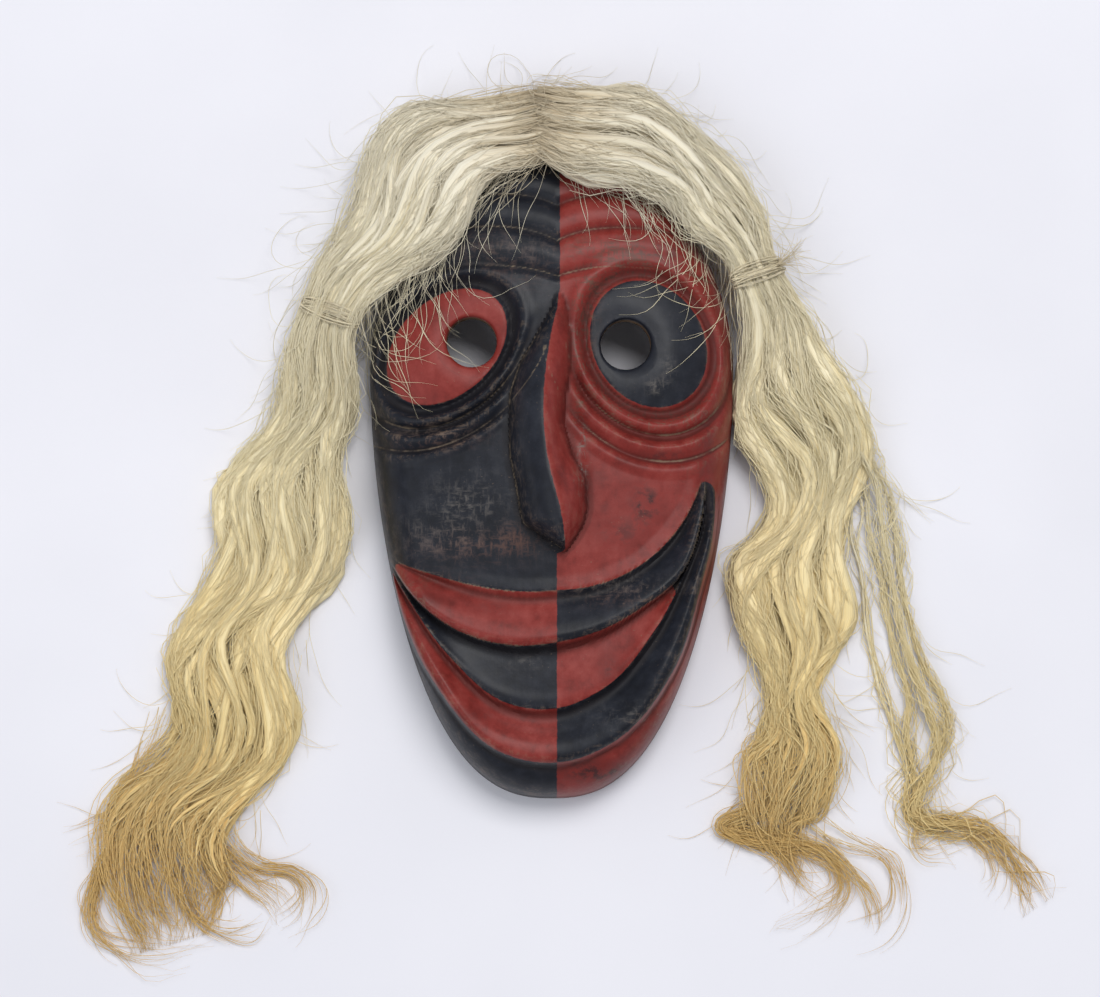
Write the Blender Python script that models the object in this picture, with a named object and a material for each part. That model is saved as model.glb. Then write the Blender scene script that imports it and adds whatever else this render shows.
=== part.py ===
"""A carved wooden face mask with two hanks of horsehair, lying on its back rim with the face up.

The frame is in metres. +X runs to the viewer's right, +Y from the chin to the forehead, +Z out of the face.
The origin is the middle of the back rim's flat at the chin, and the rim lies in the plane z = 0.

The carving and the hair are laid out in shares of the face: s is a place across it and t a place up it, from
0 at the chin to 1 at the top, so that both keep their proportions when the face changes size.
"""

import math

import bmesh
import bpy
import numpy as np
from mathutils import Vector

# Driving dimensions of the wood
FACE_LENGTH = 0.280
FACE_WIDTH = 0.158
CHEEK_HEIGHT = 0.050
NOSE_RISE = 0.024
WALL = 0.0095
RIM_WIDTH = 0.0085
EYE_HOLE_RADIUS = 0.0107
SHOULDER_RADIUS = 0.016
CHIN_Y = -RIM_WIDTH / 2

# How finely the front is cut before it is thinned, and how many faces are left
GRID_ACROSS = 150
GRID_ALONG = 250
FRONT_FACES = 2900
HOLLOW_CELLS = 16
HOLE_SIDES = 24
KEEP_OUT_CELLS = 36

# The billet, in shares: half its width, its widest level, the middle that its outline is drawn about, how far
# chin and brow recede and from which level, how much the cheeks dome, and how high the shoulder starts
HALF_SPAN = 0.281
WIDEST = 0.66
MIDDLE = 0.53
CHIN_LEVEL, CHIN_RECEDE = 0.35, 0.20
BROW_LEVEL, BROW_RECEDE = 0.74, 0.14
DOME = 0.20
SHOULDER_START = 0.30
HOLLOW_NOSE = 0.25

# Each eye: middle (s, t), half length, half width and turn of its oval, middle of its hole, size of its lids
EYES = {
    "left": dict(at=(-0.160, 0.688), half=(0.1045, 0.0735), turn=43.0, hole=(-0.122, 0.695), lid=0.88),
    "right": dict(at=(0.147, 0.692), half=(0.1015, 0.0846), turn=120.0, hole=(0.112, 0.691), lid=1.0),
}
SOCKET_DEPTH = 0.0050
SOCKET_REACH = 1.5
EYEBALL_RISE = 0.0040
DISH_DEPTH = 0.0022
DISH_REACH = 1.45

# Lid and bag folds below an eye, and the plainer lid above it: distance from the oval, then height
FOLD_RUN = (0.0, 0.0022, 0.0036, 0.0072, 0.0102, 0.0112, 0.0165, 0.0208, 0.0220, 0.0245, 0.0300)
FOLD_LOW = (0.0, -0.0024, -0.0020, 0.0024, 0.0004, -0.0016, 0.0017, -0.0008, -0.0017, 0.0004, 0.0)
FOLD_HIGH = (0.0, -0.0022, -0.0016, 0.0022, 0.0018, 0.0014, 0.0006, 0.0002, 0.0, 0.0, 0.0)
FOLD_FADE = 0.030

# The nose, level by level: t, left edge, ridge, right edge, and its share of the full rise
NOSE_T = (0.771, 0.745, 0.702, 0.658, 0.615, 0.568, 0.520, 0.482, 0.438, 0.417, 0.397, 0.3785, 0.374)
NOSE_LEFT = (0.007, 0.000, -0.024, -0.049, -0.063, -0.0645, -0.063, -0.055, -0.048, -0.043, -0.014, 0.017, 0.020)
NOSE_RIDGE = (0.011, 0.008, -0.0015, -0.008, -0.0125, -0.0125, -0.008, 0.000, 0.012, 0.016, 0.0185, 0.020, 0.0202)
NOSE_RIGHT = (0.015, 0.022, 0.028, 0.028, 0.0215, 0.018, 0.031, 0.051, 0.053, 0.048, 0.037, 0.0235, 0.0206)
NOSE_SHARE = (0.0, 0.14, 0.34, 0.54, 0.70, 0.82, 0.92, 0.98, 1.0, 1.0, 0.90, 0.55, 0.0)
NOSTRIL = dict(at=(0.040, 0.487), half=(0.012, 0.034), rise=0.0030)

# The four lip edges as distances from a point above the mouth, at angles turned clockwise from the right
MOUTH_MIDDLE = (0.0077, 0.5646)
LIP_ANGLE = (20, 35, 50, 65, 80, 90, 100, 115, 128, 140)
UPPER_TOP = (0.2354, 0.2385, 0.2431, 0.2469, 0.2485, 0.2492, 0.2554, 0.2692, 0.2892, 0.3169)
UPPER_BOTTOM = (0.2385, 0.2646, 0.2923, 0.3031, 0.3185, 0.3277, 0.3377, 0.3438, 0.3385, 0.3262)
LOWER_TOP = (0.2400, 0.2677, 0.2969, 0.3446, 0.4031, 0.4269, 0.4262, 0.3846, 0.3508, 0.3308)
LOWER_BOTTOM = (0.2462, 0.2862, 0.3338, 0.4123, 0.4862, 0.5092, 0.5000, 0.4323, 0.3754, 0.3292)

# Height across each lip, and across the mouth between them, from its top edge down to the next one
LIP_RUN = (0.0, 0.07, 0.14, 0.40, 0.72, 0.90, 1.0)
UPPER_HEIGHT = (0.0008, -0.0008, -0.0018, 0.0012, 0.0054, 0.0056, 0.0042)
MOUTH_HEIGHT = (0.0042, -0.0010, -0.0040, -0.0028, -0.0010, 0.0002, 0.0004)
LOWER_HEIGHT = (0.0004, -0.0022, -0.0036, -0.0006, 0.0050, 0.0050, 0.0034)
FULL_MOUTH = 0.070
LIP_LEAD = 0.006
CHIN_CUT = 0.0022
CHIN_RUN = 0.012
LIP_FADE = 6.0

# Forehead creases: level at the middle, how far their arms rise and how far across they take to rise
CREASES = ((0.962, 0.020, 0.045), (0.905, 0.026, 0.045), (0.850, 0.034, 0.060), (0.795, 0.030, 0.080))
CREASE_MIDDLE = 0.008
CREASE_DROOP = 0.55
CREASE_DEPTH = 0.0018
CREASE_HALF_WIDTH = 0.0030
ROLL_HEIGHT = 0.0012
ROLL_SPREAD = 0.018

# Each hank, station by station from the parting to the tips: its middle (s, t) and width in shares, how far
# it rests on the face's own height, and how deep it is
LEFT_HANK = (
    (0.015, 1.052, 0.125, 1.00, 0.016),
    (-0.170, 0.980, 0.200, 1.00, 0.019),
    (-0.257, 0.852, 0.175, 1.00, 0.018),
    (-0.340, 0.743, 0.098, 1.00, 0.016),
    (-0.372, 0.577, 0.153, 0.25, 0.017),
    (-0.414, 0.426, 0.185, 0.00, 0.015),
    (-0.469, 0.272, 0.190, 0.00, 0.013),
    (-0.492, 0.149, 0.200, 0.00, 0.012),
    (-0.534, 0.038, 0.215, 0.00, 0.011),
    (-0.583, -0.063, 0.205, 0.00, 0.009),
    (-0.600, -0.150, 0.185, 0.00, 0.007),
    (-0.580, -0.225, 0.180, 0.00, 0.005),
)
RIGHT_HANK = (
    (-0.058, 1.054, 0.125, 1.00, 0.016),
    (0.123, 1.012, 0.174, 1.00, 0.019),
    (0.248, 0.929, 0.130, 1.00, 0.018),
    (0.315, 0.806, 0.076, 1.00, 0.015),
    (0.374, 0.638, 0.172, 0.25, 0.017),
    (0.397, 0.446, 0.154, 0.00, 0.015),
    (0.382, 0.350, 0.170, 0.00, 0.013),
    (0.365, 0.257, 0.150, 0.00, 0.012),
    (0.371, 0.168, 0.120, 0.00, 0.012),
    (0.397, 0.082, 0.130, 0.00, 0.011),
    (0.352, 0.006, 0.120, 0.00, 0.009),
    (0.338, -0.056, 0.085, 0.00, 0.008),
    (0.380, -0.105, 0.065, 0.00, 0.007),
    (0.450, -0.130, 0.060, 0.00, 0.005),
)
STRAY_LOCK = (
    (0.388, 0.645, 0.030, 0.30, 0.011),
    (0.486, 0.495, 0.030, 0.00, 0.009),
    (0.497, 0.388, 0.030, 0.00, 0.008),
    (0.523, 0.242, 0.030, 0.00, 0.007),
    (0.558, 0.103, 0.030, 0.00, 0.007),
    (0.560, 0.003, 0.028, 0.00, 0.006),
    (0.628, -0.048, 0.026, 0.00, 0.005),
    (0.720, -0.109, 0.024, 0.00, 0.004),
    (0.763, -0.171, 0.024, 0.00, 0.004),
)
PINCH_STATION = 3
PARTING = -0.0215
PARTING_GAP = 0.0006

# Locks: how many make a hank, how far they overlap, how they wave and how thin their tips are
LOCKS_PER_HANK = 4
LOCK_OVERLAP = 1.50
LOCK_ROWS = 22
STRAY_ROWS = 17
LOCK_SIDES = 6
LOCK_SINK = 0.0026
SIDE_LOCK_DEPTH = 0.70
WAVE_HEIGHT = 0.0032
WAVE_LENGTH = 0.085
WAVE_PHASE = 7.5
TIP_STATIONS = 3.0
TIP_SHARE = 0.25
SMALL_STEP = 0.02

# What the hair lies on beside the face, and how clear of the wood it stays
DRAPE_SHARE = 0.80
DRAPE_RUN = 0.044
HAIR_CLEARANCE = 0.0005
HAIR_LIFT = 0.0036

# The ties: how thick the wound cord is, how many turns, and how far they squeeze the hank
TIE_CORD = 0.0024
TIE_TURNS = 3
TIE_SQUEEZE = 0.92
TIE_LEVEL = 0.42
TIE_SECTIONS = 16
TIE_GAP = 0.0004
TRIM_REACH = 0.012

WOOD = ((0.32, 0.06, 0.05), 0.45)
HAIR = ((0.72, 0.58, 0.36), 0.55)
CORD = ((0.50, 0.36, 0.18), 0.60)
CUTTER = ((1.0, 1.0, 1.0), 0.50)


def eased(share):
    """A smooth step from 0 to 1."""
    share = np.clip(share, 0, 1)
    return share * share * (3 - 2 * share)


def smooth_table(x, knots, values):
    """A smooth curve through the named values, read at x."""
    knots, values = np.asarray(knots, float), np.asarray(values, float)
    slopes = np.gradient(values, knots)
    i = np.clip(np.searchsorted(knots, x) - 1, 0, len(knots) - 2)
    span = knots[i + 1] - knots[i]
    u = np.clip((x - knots[i]) / span, 0, 1)
    rise = values[i] * (1 + 2 * u) * (1 - u) ** 2 + values[i + 1] * u * u * (3 - 2 * u)
    return rise + span * (slopes[i] * u * (1 - u) ** 2 - slopes[i + 1] * u * u * (1 - u))


def half_span(t):
    """Half the outline's width at level t: a jaw and a brow curve that meet at the widest level."""
    jaw = np.clip((WIDEST - t) / WIDEST, 0, 1)
    brow = np.clip((t - WIDEST) / (1 - WIDEST), 0, 1)
    return HALF_SPAN * np.where(t < WIDEST, (1 - jaw**1.75) ** 0.4, (1 - brow**1.9) ** 0.5)


def outline_table():
    """The outline's right half as angles and distances about the middle of the face."""
    t = 0.5 - 0.5 * np.cos(np.linspace(0, math.pi, 600))
    s = half_span(t)
    return np.arctan2(t - MIDDLE, s), np.hypot(s, t - MIDDLE)


OUTLINE_ANGLE, OUTLINE_REACH = outline_table()


def to_metres(s, t):
    return s * FACE_WIDTH / (2 * HALF_SPAN), CHIN_Y + t * FACE_LENGTH


def to_shares(x, y):
    return x * 2 * HALF_SPAN / FACE_WIDTH, (y - CHIN_Y) / FACE_LENGTH


def reach_at(s, t):
    """Distance from the middle of the face to its outline, towards (s, t)."""
    return np.interp(np.arctan2(t - MIDDLE, np.abs(s)), OUTLINE_ANGLE, OUTLINE_REACH)


def plain_front(s, t, inset=0.0):
    """Height of the front before it is carved, with its outline moved inwards by a width in metres."""
    reach = reach_at(s, t)
    away = np.hypot(s, t - MIDDLE)
    edge = (reach - away) * FACE_LENGTH - inset
    chin = CHIN_RECEDE * np.clip((CHIN_LEVEL - t) / CHIN_LEVEL, 0, 1) ** 2
    brow = BROW_RECEDE * np.clip((t - BROW_LEVEL) / (1 - BROW_LEVEL), 0, 1) ** 2
    dome = 1 - DOME * np.clip(away / reach, 0, 1) ** 2
    across = 1 - np.clip(edge / SHOULDER_RADIUS, 0, 1)
    shoulder = SHOULDER_START + (1 - SHOULDER_START) * np.sqrt(np.clip(1 - across**2, 0, 1))
    return CHEEK_HEIGHT * (1 - chin - brow) * dome * shoulder


def eye_reach(s, t, eye):
    """How far a point is from the eye's middle, where 1 is its oval."""
    turn = math.radians(eye["turn"])
    ds, dt = s - eye["at"][0], t - eye["at"][1]
    along = (ds * math.cos(turn) + dt * math.sin(turn)) / eye["half"][0]
    aside = (dt * math.cos(turn) - ds * math.sin(turn)) / eye["half"][1]
    return np.hypot(along, aside)


def socket(s, t, eye):
    """The broad bowl that the eye sits in."""
    return -SOCKET_DEPTH * np.exp(-((eye_reach(s, t, eye) / SOCKET_REACH) ** 4))


def off_nose(s, t):
    """1 away from the nose, falling to 0 on it."""
    knots = -np.array(NOSE_T)
    left, right = (np.interp(-t, knots, edge) for edge in (NOSE_LEFT, NOSE_RIGHT))
    return eased(np.maximum(left - s, s - right) / FOLD_FADE + 0.15)


def eye_relief(s, t, eye):
    """Bulging eye, dish round its hole, and the lids and bags that ring it."""
    q = eye_reach(s, t, eye)
    size = math.sqrt(eye["half"][0] * eye["half"][1])
    ball = EYEBALL_RISE * np.clip(1 - q**2, 0, 1)
    hole = np.hypot(s - eye["hole"][0], t - eye["hole"][1]) * FACE_LENGTH / EYE_HOLE_RADIUS
    dish = -DISH_DEPTH * np.exp(-((hole / DISH_REACH) ** 4))
    run = np.clip(q - 1, 0, None) * size * FACE_LENGTH / eye["lid"]
    below = eased(0.55 - 0.75 * (t - eye["at"][1]) / size)
    folds = below * np.interp(run, FOLD_RUN, FOLD_LOW) + (1 - below) * np.interp(run, FOLD_RUN, FOLD_HIGH)
    return ball + dish + folds * off_nose(s, t)


def nose_relief(s, t):
    """A long crooked nose: a ridge line with a wide left flank and a narrow right one, and one nostril wing."""
    level = -np.asarray(t, float)
    knots = -np.array(NOSE_T)
    left, ridge, right = (np.interp(level, knots, edge) for edge in (NOSE_LEFT, NOSE_RIDGE, NOSE_RIGHT))
    share = np.clip(smooth_table(level, knots, NOSE_SHARE), 0, 1)
    on_left = s < ridge
    width = np.where(on_left, ridge - left, right - ridge)
    aside = np.clip(np.abs(s - ridge) / np.maximum(width, 1e-4), 0, 1)
    across = np.where(on_left, (1 - aside**2.0) ** 0.62, (1 - aside**1.6) ** 0.8)
    ds, dt = (s - NOSTRIL["at"][0]) / NOSTRIL["half"][0], (t - NOSTRIL["at"][1]) / NOSTRIL["half"][1]
    wing = NOSTRIL["rise"] * np.exp(-(ds**2) - dt**2)
    inside = (t < NOSE_T[0]) & (t > NOSE_T[-1])
    return np.where(inside, NOSE_RISE * share * across + wing, 0.0)


def mouth_relief(s, t):
    """Two lips and the mouth between them, each lapping over the next like a shingle."""
    ds, dt = s - MOUTH_MIDDLE[0], t - MOUTH_MIDDLE[1]
    angle = np.degrees(np.arctan2(-dt, ds)) % 360
    away = np.hypot(ds, dt)
    turned = np.clip(angle, LIP_ANGLE[0], LIP_ANGLE[-1])
    edges = [smooth_table(turned, LIP_ANGLE, edge) for edge in (UPPER_TOP, UPPER_BOTTOM, LOWER_TOP, LOWER_BOTTOM)]
    height = UPPER_HEIGHT[0] * np.clip(1 - (edges[0] - away) * FACE_LENGTH / LIP_LEAD, 0, 1)
    for inner, outer, profile in zip(edges, edges[1:], (UPPER_HEIGHT, MOUTH_HEIGHT, LOWER_HEIGHT)):
        across = (away - inner) / np.maximum(outer - inner, 1e-4)
        height = np.where(away >= inner, np.interp(across, LIP_RUN, profile), height)
    past = (away - edges[3]) * FACE_LENGTH / CHIN_RUN
    chin = np.interp(past, (0.0, 0.18, 1.0), (LOWER_HEIGHT[-1], -CHIN_CUT, 0.0))
    height = np.where(past >= 0, chin, height) * eased((edges[3] - edges[0]) / FULL_MOUTH)
    fade = eased((angle - LIP_ANGLE[0]) / LIP_FADE + 1) * eased((LIP_ANGLE[-1] - angle) / LIP_FADE + 1)
    return height * fade


def crease_level(s, crease):
    """The level of a forehead crease at s: a shallow V whose arms flatten out and then droop."""
    middle, rise, run = crease
    return middle + rise * (1 - np.exp(-np.abs(s - CREASE_MIDDLE) / run)) - CREASE_DROOP * s**2


def forehead_relief(s, t):
    """Rolls of skin between V-shaped creases."""
    levels = [crease_level(s, crease) for crease in CREASES]
    height = 0.0
    for level in levels:
        height = height - CREASE_DEPTH * np.clip(1 - np.abs(t - level) * FACE_LENGTH / CREASE_HALF_WIDTH, 0, 1)
    for upper, lower in zip(levels, levels[1:]):
        height = height + ROLL_HEIGHT * np.exp(-(((t - (upper + lower) / 2) / ROLL_SPREAD) ** 2))
    for eye in EYES.values():
        height = height * eased((eye_reach(s, t, eye) - 1.25) / 0.35)
    return height * eased((t - BROW_LEVEL) / 0.05)


def face_height(s, t):
    """Height of the carved front above the back rim."""
    height = plain_front(s, t) + nose_relief(s, t) + mouth_relief(s, t) + forehead_relief(s, t)
    for eye in EYES.values():
        height = height + socket(s, t, eye) + eye_relief(s, t, eye)
    return height


def hollow_height(s, t):
    """Height of the hollow behind: the plain front, with soft sockets and nose, a wall's thickness lower."""
    height = plain_front(s, t, inset=RIM_WIDTH) - WALL
    for eye in EYES.values():
        height = height + socket(s, t, eye)
    return height + HOLLOW_NOSE * NOSE_RISE * np.exp(-((s / 0.050) ** 2) - ((t - 0.50) / 0.13) ** 4)


def hair_floor(s, t):
    """Top of the block that hair keeps out of: the plain front and the carving that stands on it."""
    return plain_front(s, t, inset=-HAIR_CLEARANCE) + HAIR_LIFT


def drape(s, t):
    """Height of what the hair lies on: the face, and a slope from its shoulder down to the floor around it."""
    beyond = (np.hypot(s, t - MIDDLE) - reach_at(s, t)) * FACE_LENGTH
    slope = DRAPE_SHARE * CHEEK_HEIGHT * (1 - eased((beyond + SHOULDER_RADIUS) / (SHOULDER_RADIUS + DRAPE_RUN)))
    return np.maximum(plain_front(s, t), slope)


def hank_columns(hank, u):
    """A hank's middle (s, t), width, lift and depth at places u along its stations."""
    stations = np.array(hank)
    return [smooth_table(u, np.arange(len(stations)), column) for column in stations.T]


def hank_frame(hank, u):
    """A hank's middle line in metres, its sideways direction, and its width, lift and depth there."""
    s, t, width, lift, depth = hank_columns(hank, u)
    ahead = np.array(to_metres(*hank_columns(hank, u + SMALL_STEP)[:2]))
    behind = np.array(to_metres(*hank_columns(hank, u - SMALL_STEP)[:2]))
    along = (ahead - behind) / np.linalg.norm(ahead - behind, axis=0)
    return np.array(to_metres(s, t)), np.array((-along[1], along[0])), width * FACE_LENGTH, lift, depth


def new_object(name, mesh, collection, finish):
    """An object in the collection with a plain material of its own."""
    obj = bpy.data.objects.new(name, mesh)
    collection.objects.link(obj)
    material = bpy.data.materials.new(name + "_finish")
    material.use_nodes = True
    shader = material.node_tree.nodes["Principled BSDF"]
    colour, roughness = finish
    shader.inputs["Base Color"].default_value = (*colour, 1.0)
    shader.inputs["Roughness"].default_value = roughness
    obj.data.materials.append(material)
    return obj


def new_cutter(name, sheet, cutters):
    """A hidden object that only cuts or joins others."""
    obj = new_object(name, to_mesh(sheet, name), cutters, CUTTER)
    obj.display_type = "WIRE"
    obj.hide_render = True
    return obj


def to_mesh(sheet, name):
    mesh = bpy.data.meshes.new(name)
    sheet.to_mesh(mesh)
    sheet.free()
    return mesh


def combine(obj, other, operation):
    """Leaves an exact Boolean with another object on this one."""
    modifier = obj.modifiers.new(f"{operation.lower()}_{other.name}", "BOOLEAN")
    modifier.operation = operation
    modifier.use_self = True
    modifier.object = other


def oval_sheet(across, along, inset, height):
    """A square grid pressed into the face's outline, inset by a width in metres, and raised to its height."""
    sheet = bmesh.new()
    bmesh.ops.create_grid(sheet, x_segments=across, y_segments=along, size=1.0)
    x, y = np.array([vertex.co[:2] for vertex in sheet.verts]).T
    disc = np.array((x * np.sqrt(1 - y * y / 2), y * np.sqrt(1 - x * x / 2)))
    away = np.linalg.norm(disc, axis=0)
    toward = disc / np.maximum(away, 1e-9)
    reach = (reach_at(toward[0], MIDDLE + toward[1]) - inset / FACE_LENGTH) * away
    s, t = toward[0] * reach, MIDDLE + toward[1] * reach
    for vertex, place in zip(sheet.verts, np.array((*to_metres(s, t), height(s, t))).T):
        vertex.co = place
    return sheet


def close_below(sheet, level):
    """Turns an open sheet into a solid by drawing its edge down to a level and filling the bottom."""
    rim = [edge for edge in sheet.edges if edge.is_boundary]
    drawn = bmesh.ops.extrude_edge_only(sheet, edges=rim)["geom"]
    for vertex in (item for item in drawn if isinstance(item, bmesh.types.BMVert)):
        vertex.co.z = level
    bottom = [item for item in drawn if isinstance(item, bmesh.types.BMEdge) and item.is_boundary]
    bmesh.ops.contextual_create(sheet, geom=bottom)
    bmesh.ops.triangulate(sheet, faces=sheet.faces)
    bmesh.ops.recalc_face_normals(sheet, faces=sheet.faces)


def thinned(sheet, name, faces):
    """The sheet with its triangles merged where it is nearly flat, so that few faces keep the carving."""
    rough = bpy.data.objects.new(name, to_mesh(sheet, name))
    bpy.context.scene.collection.objects.link(rough)
    modifier = rough.modifiers.new("thin", "DECIMATE")
    modifier.ratio = faces / (2 * len(rough.data.polygons))
    graph = bpy.context.evaluated_depsgraph_get()
    thin = bmesh.new()
    thin.from_mesh(rough.evaluated_get(graph).to_mesh())
    bpy.data.objects.remove(rough)
    return thin


def carved_face(parts, cutters):
    """The wooden face: a carved front, a hollow back and two round eye holes."""
    front = thinned(oval_sheet(GRID_ACROSS, GRID_ALONG, 0.0, face_height), "front_rough", FRONT_FACES)
    close_below(front, 0.0)
    face = new_object("carved_face", to_mesh(front, "carved_face"), parts, WOOD)
    hollow = oval_sheet(HOLLOW_CELLS, 2 * HOLLOW_CELLS, RIM_WIDTH, hollow_height)
    close_below(hollow, -WALL)
    combine(face, new_cutter("hollow_cutter", hollow, cutters), "DIFFERENCE")
    for side, eye in EYES.items():
        bore = bmesh.new()
        bmesh.ops.create_cone(bore, cap_ends=True, segments=HOLE_SIDES, radius1=EYE_HOLE_RADIUS,
                              radius2=EYE_HOLE_RADIUS, depth=2 * CHEEK_HEIGHT)
        bmesh.ops.translate(bore, verts=bore.verts, vec=Vector((*to_metres(*eye["hole"]), CHEEK_HEIGHT)))
        combine(face, new_cutter(f"eye_hole_cutter_{side}", bore, cutters), "DIFFERENCE")


def lock_rings(hank, share, breadth, rows):
    """Rings of points round one wavy lock, which lies a share of the way across its hank."""
    u = np.linspace(0, len(hank) - 1, rows)
    middle, aside, width, lift, depth = hank_frame(hank, u)
    middle = middle + aside * width * (share - 0.5)
    run = np.concatenate([[0], np.cumsum(np.linalg.norm(np.diff(middle), axis=0))])
    free = eased((u - PINCH_STATION) / 2)
    wave = WAVE_HEIGHT * free * np.sin(2 * math.pi * run / WAVE_LENGTH + WAVE_PHASE * share)
    taper = TIP_SHARE + (1 - TIP_SHARE) * np.sqrt(np.clip((u[-1] - u) / TIP_STATIONS, 0, 1))
    low = drape(*to_shares(*middle)) * lift
    arch = 1 - (1 - SIDE_LOCK_DEPTH) * (2 * share - 1) ** 2
    half_width = 0.5 * width * breadth * taper
    half_height = (depth * arch * taper + LOCK_SINK) / 2
    turn = 2 * math.pi * (np.arange(LOCK_SIDES)[:, None] + 0.5) / LOCK_SIDES
    off = wave + half_width * np.cos(turn)
    height = low - LOCK_SINK + half_height * (1 + np.sin(turn))
    return np.array((middle[0] + aside[0] * off, middle[1] + aside[1] * off, height)).T


def lofted(rings, closed=False):
    """A solid through rings with the same number of points, capped at both ends or closed into a loop."""
    loft = bmesh.new()
    rows = [[loft.verts.new(point) for point in ring] for ring in rings]
    pairs = list(zip(rows, rows[1:])) + ([(rows[-1], rows[0])] if closed else [])
    for low, high in pairs:
        for i in range(len(low)):
            j = (i + 1) % len(low)
            loft.faces.new((low[i], low[j], high[j], high[i]))
    if not closed:
        loft.faces.new(rows[0])
        loft.faces.new(rows[-1])
    bmesh.ops.triangulate(loft, faces=loft.faces)
    bmesh.ops.recalc_face_normals(loft, faces=loft.faces)
    return loft


def cord_profile():
    """Outline across the wound tie, as (run, rise): flat inside, with a bump for each turn."""
    half = TIE_CORD * TIE_TURNS / 2
    points = [(-half, 0.0), (-half, TIE_CORD / 2)]
    for turn in range(TIE_TURNS):
        start = -half + turn * TIE_CORD
        points += [(start + TIE_CORD / 2, TIE_CORD), (start + TIE_CORD, TIE_CORD / 2)]
    return points + [(half, 0.0)]


def trim_profile():
    """Outline across the collar that trims the hank, TIE_GAP inside the tie and past its ends."""
    half = TIE_CORD * TIE_TURNS / 2 + TIE_GAP
    return [(-half, -TIE_GAP), (-half, TRIM_REACH), (half, TRIM_REACH), (half, -TIE_GAP)]


def band_round_pinch(hank, profile):
    """A band with the given profile, swept round the hank where it is tied."""
    middle, aside, width, lift, depth = hank_frame(hank, PINCH_STATION)
    along = Vector((aside[1], -aside[0], 0))
    aside = Vector((*aside, 0))
    centre = Vector((*middle, drape(*to_shares(*middle)) * lift + depth * TIE_LEVEL))
    rings = []
    for i in range(TIE_SECTIONS):
        angle = 2 * math.pi * i / TIE_SECTIONS
        ring = []
        for run, rise in profile:
            across = aside * math.cos(angle) * (width * TIE_SQUEEZE / 2 + rise)
            up = Vector((0, 0, math.sin(angle) * (depth * TIE_SQUEEZE / 2 + rise)))
            ring.append(centre + across + up + along * run)
        rings.append(ring)
    return lofted(rings, closed=True)


def hair_hank(side, locks, parts, cutters, keep_outs):
    """One hank: its locks joined, then cut clear of the floor, the face, the parting and its tie."""
    name = f"hair_{side}"
    hair = new_object(name, to_mesh(lofted(locks[0]), name), parts, HAIR)
    for i, rings in enumerate(locks[1:]):
        combine(hair, new_cutter(f"lock_{side}_{i}", lofted(rings), cutters), "UNION")
    for keep_out in keep_outs:
        combine(hair, keep_out, "DIFFERENCE")


def face_keep_out(cutters):
    """The billet of the face grown by the hair's clearance."""
    sheet = oval_sheet(KEEP_OUT_CELLS, 2 * KEEP_OUT_CELLS, -HAIR_CLEARANCE, hair_floor)
    close_below(sheet, -WALL)
    return new_cutter("face_keep_out", sheet, cutters)


def block_keep_out(name, centre, cutters):
    """A metre-wide cube to cut away one side of a plane."""
    block = bmesh.new()
    bmesh.ops.create_cube(block, size=1.0)
    bmesh.ops.translate(block, verts=block.verts, vec=Vector(centre))
    return new_cutter(name, block, cutters)


def new_collection(name):
    collection = bpy.data.collections.new(name)
    bpy.context.scene.collection.children.link(collection)
    return collection


def main():
    for obj in list(bpy.data.objects):
        bpy.data.objects.remove(obj)
    parts = new_collection("false_face_mask")
    cutters = new_collection("cutters")
    carved_face(parts, cutters)

    floor = block_keep_out("floor_keep_out", (0, 0, -0.5), cutters)
    face = face_keep_out(cutters)
    parting = to_metres(PARTING, 1.0)[0]
    breadth = LOCK_OVERLAP / LOCKS_PER_HANK
    for side, hank, sign in (("left", LEFT_HANK, 1), ("right", RIGHT_HANK, -1)):
        locks = []
        for i in range(LOCKS_PER_HANK):
            # Neighbours get unlike numbers of rows, so that their rings don't share planes
            locks.append(lock_rings(hank, (i + 0.5) / LOCKS_PER_HANK, breadth, LOCK_ROWS - i))
        if side == "right":
            locks.append(lock_rings(STRAY_LOCK, 0.5, 1.0, STRAY_ROWS))
        name = f"hair_tie_{side}"
        tie = new_object(name, to_mesh(band_round_pinch(hank, cord_profile()), name), parts, CORD)
        combine(tie, face, "DIFFERENCE")
        collar = new_cutter(f"tie_keep_out_{side}", band_round_pinch(hank, trim_profile()), cutters)
        beyond = (parting + sign * (0.5 - PARTING_GAP / 2), 0, 0)
        over = block_keep_out(f"parting_keep_out_{side}", beyond, cutters)
        hair_hank(side, locks, parts, cutters, [floor, face, over, collar])


main()
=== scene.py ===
# %% [markdown]
# This is a carved and painted wooden face mask with two hanks of horsehair. It lies face up on its back rim.
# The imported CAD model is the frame: it fixes where everything is and how big it is. Its solids could carry
# materials as they are, but they have few faces, and hair isn't a block. So each solid is replaced by a finer
# piece that keeps its form: the carving by a dense surface, and the hair by many thin strands.

# %% Load the frame
import math

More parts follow.
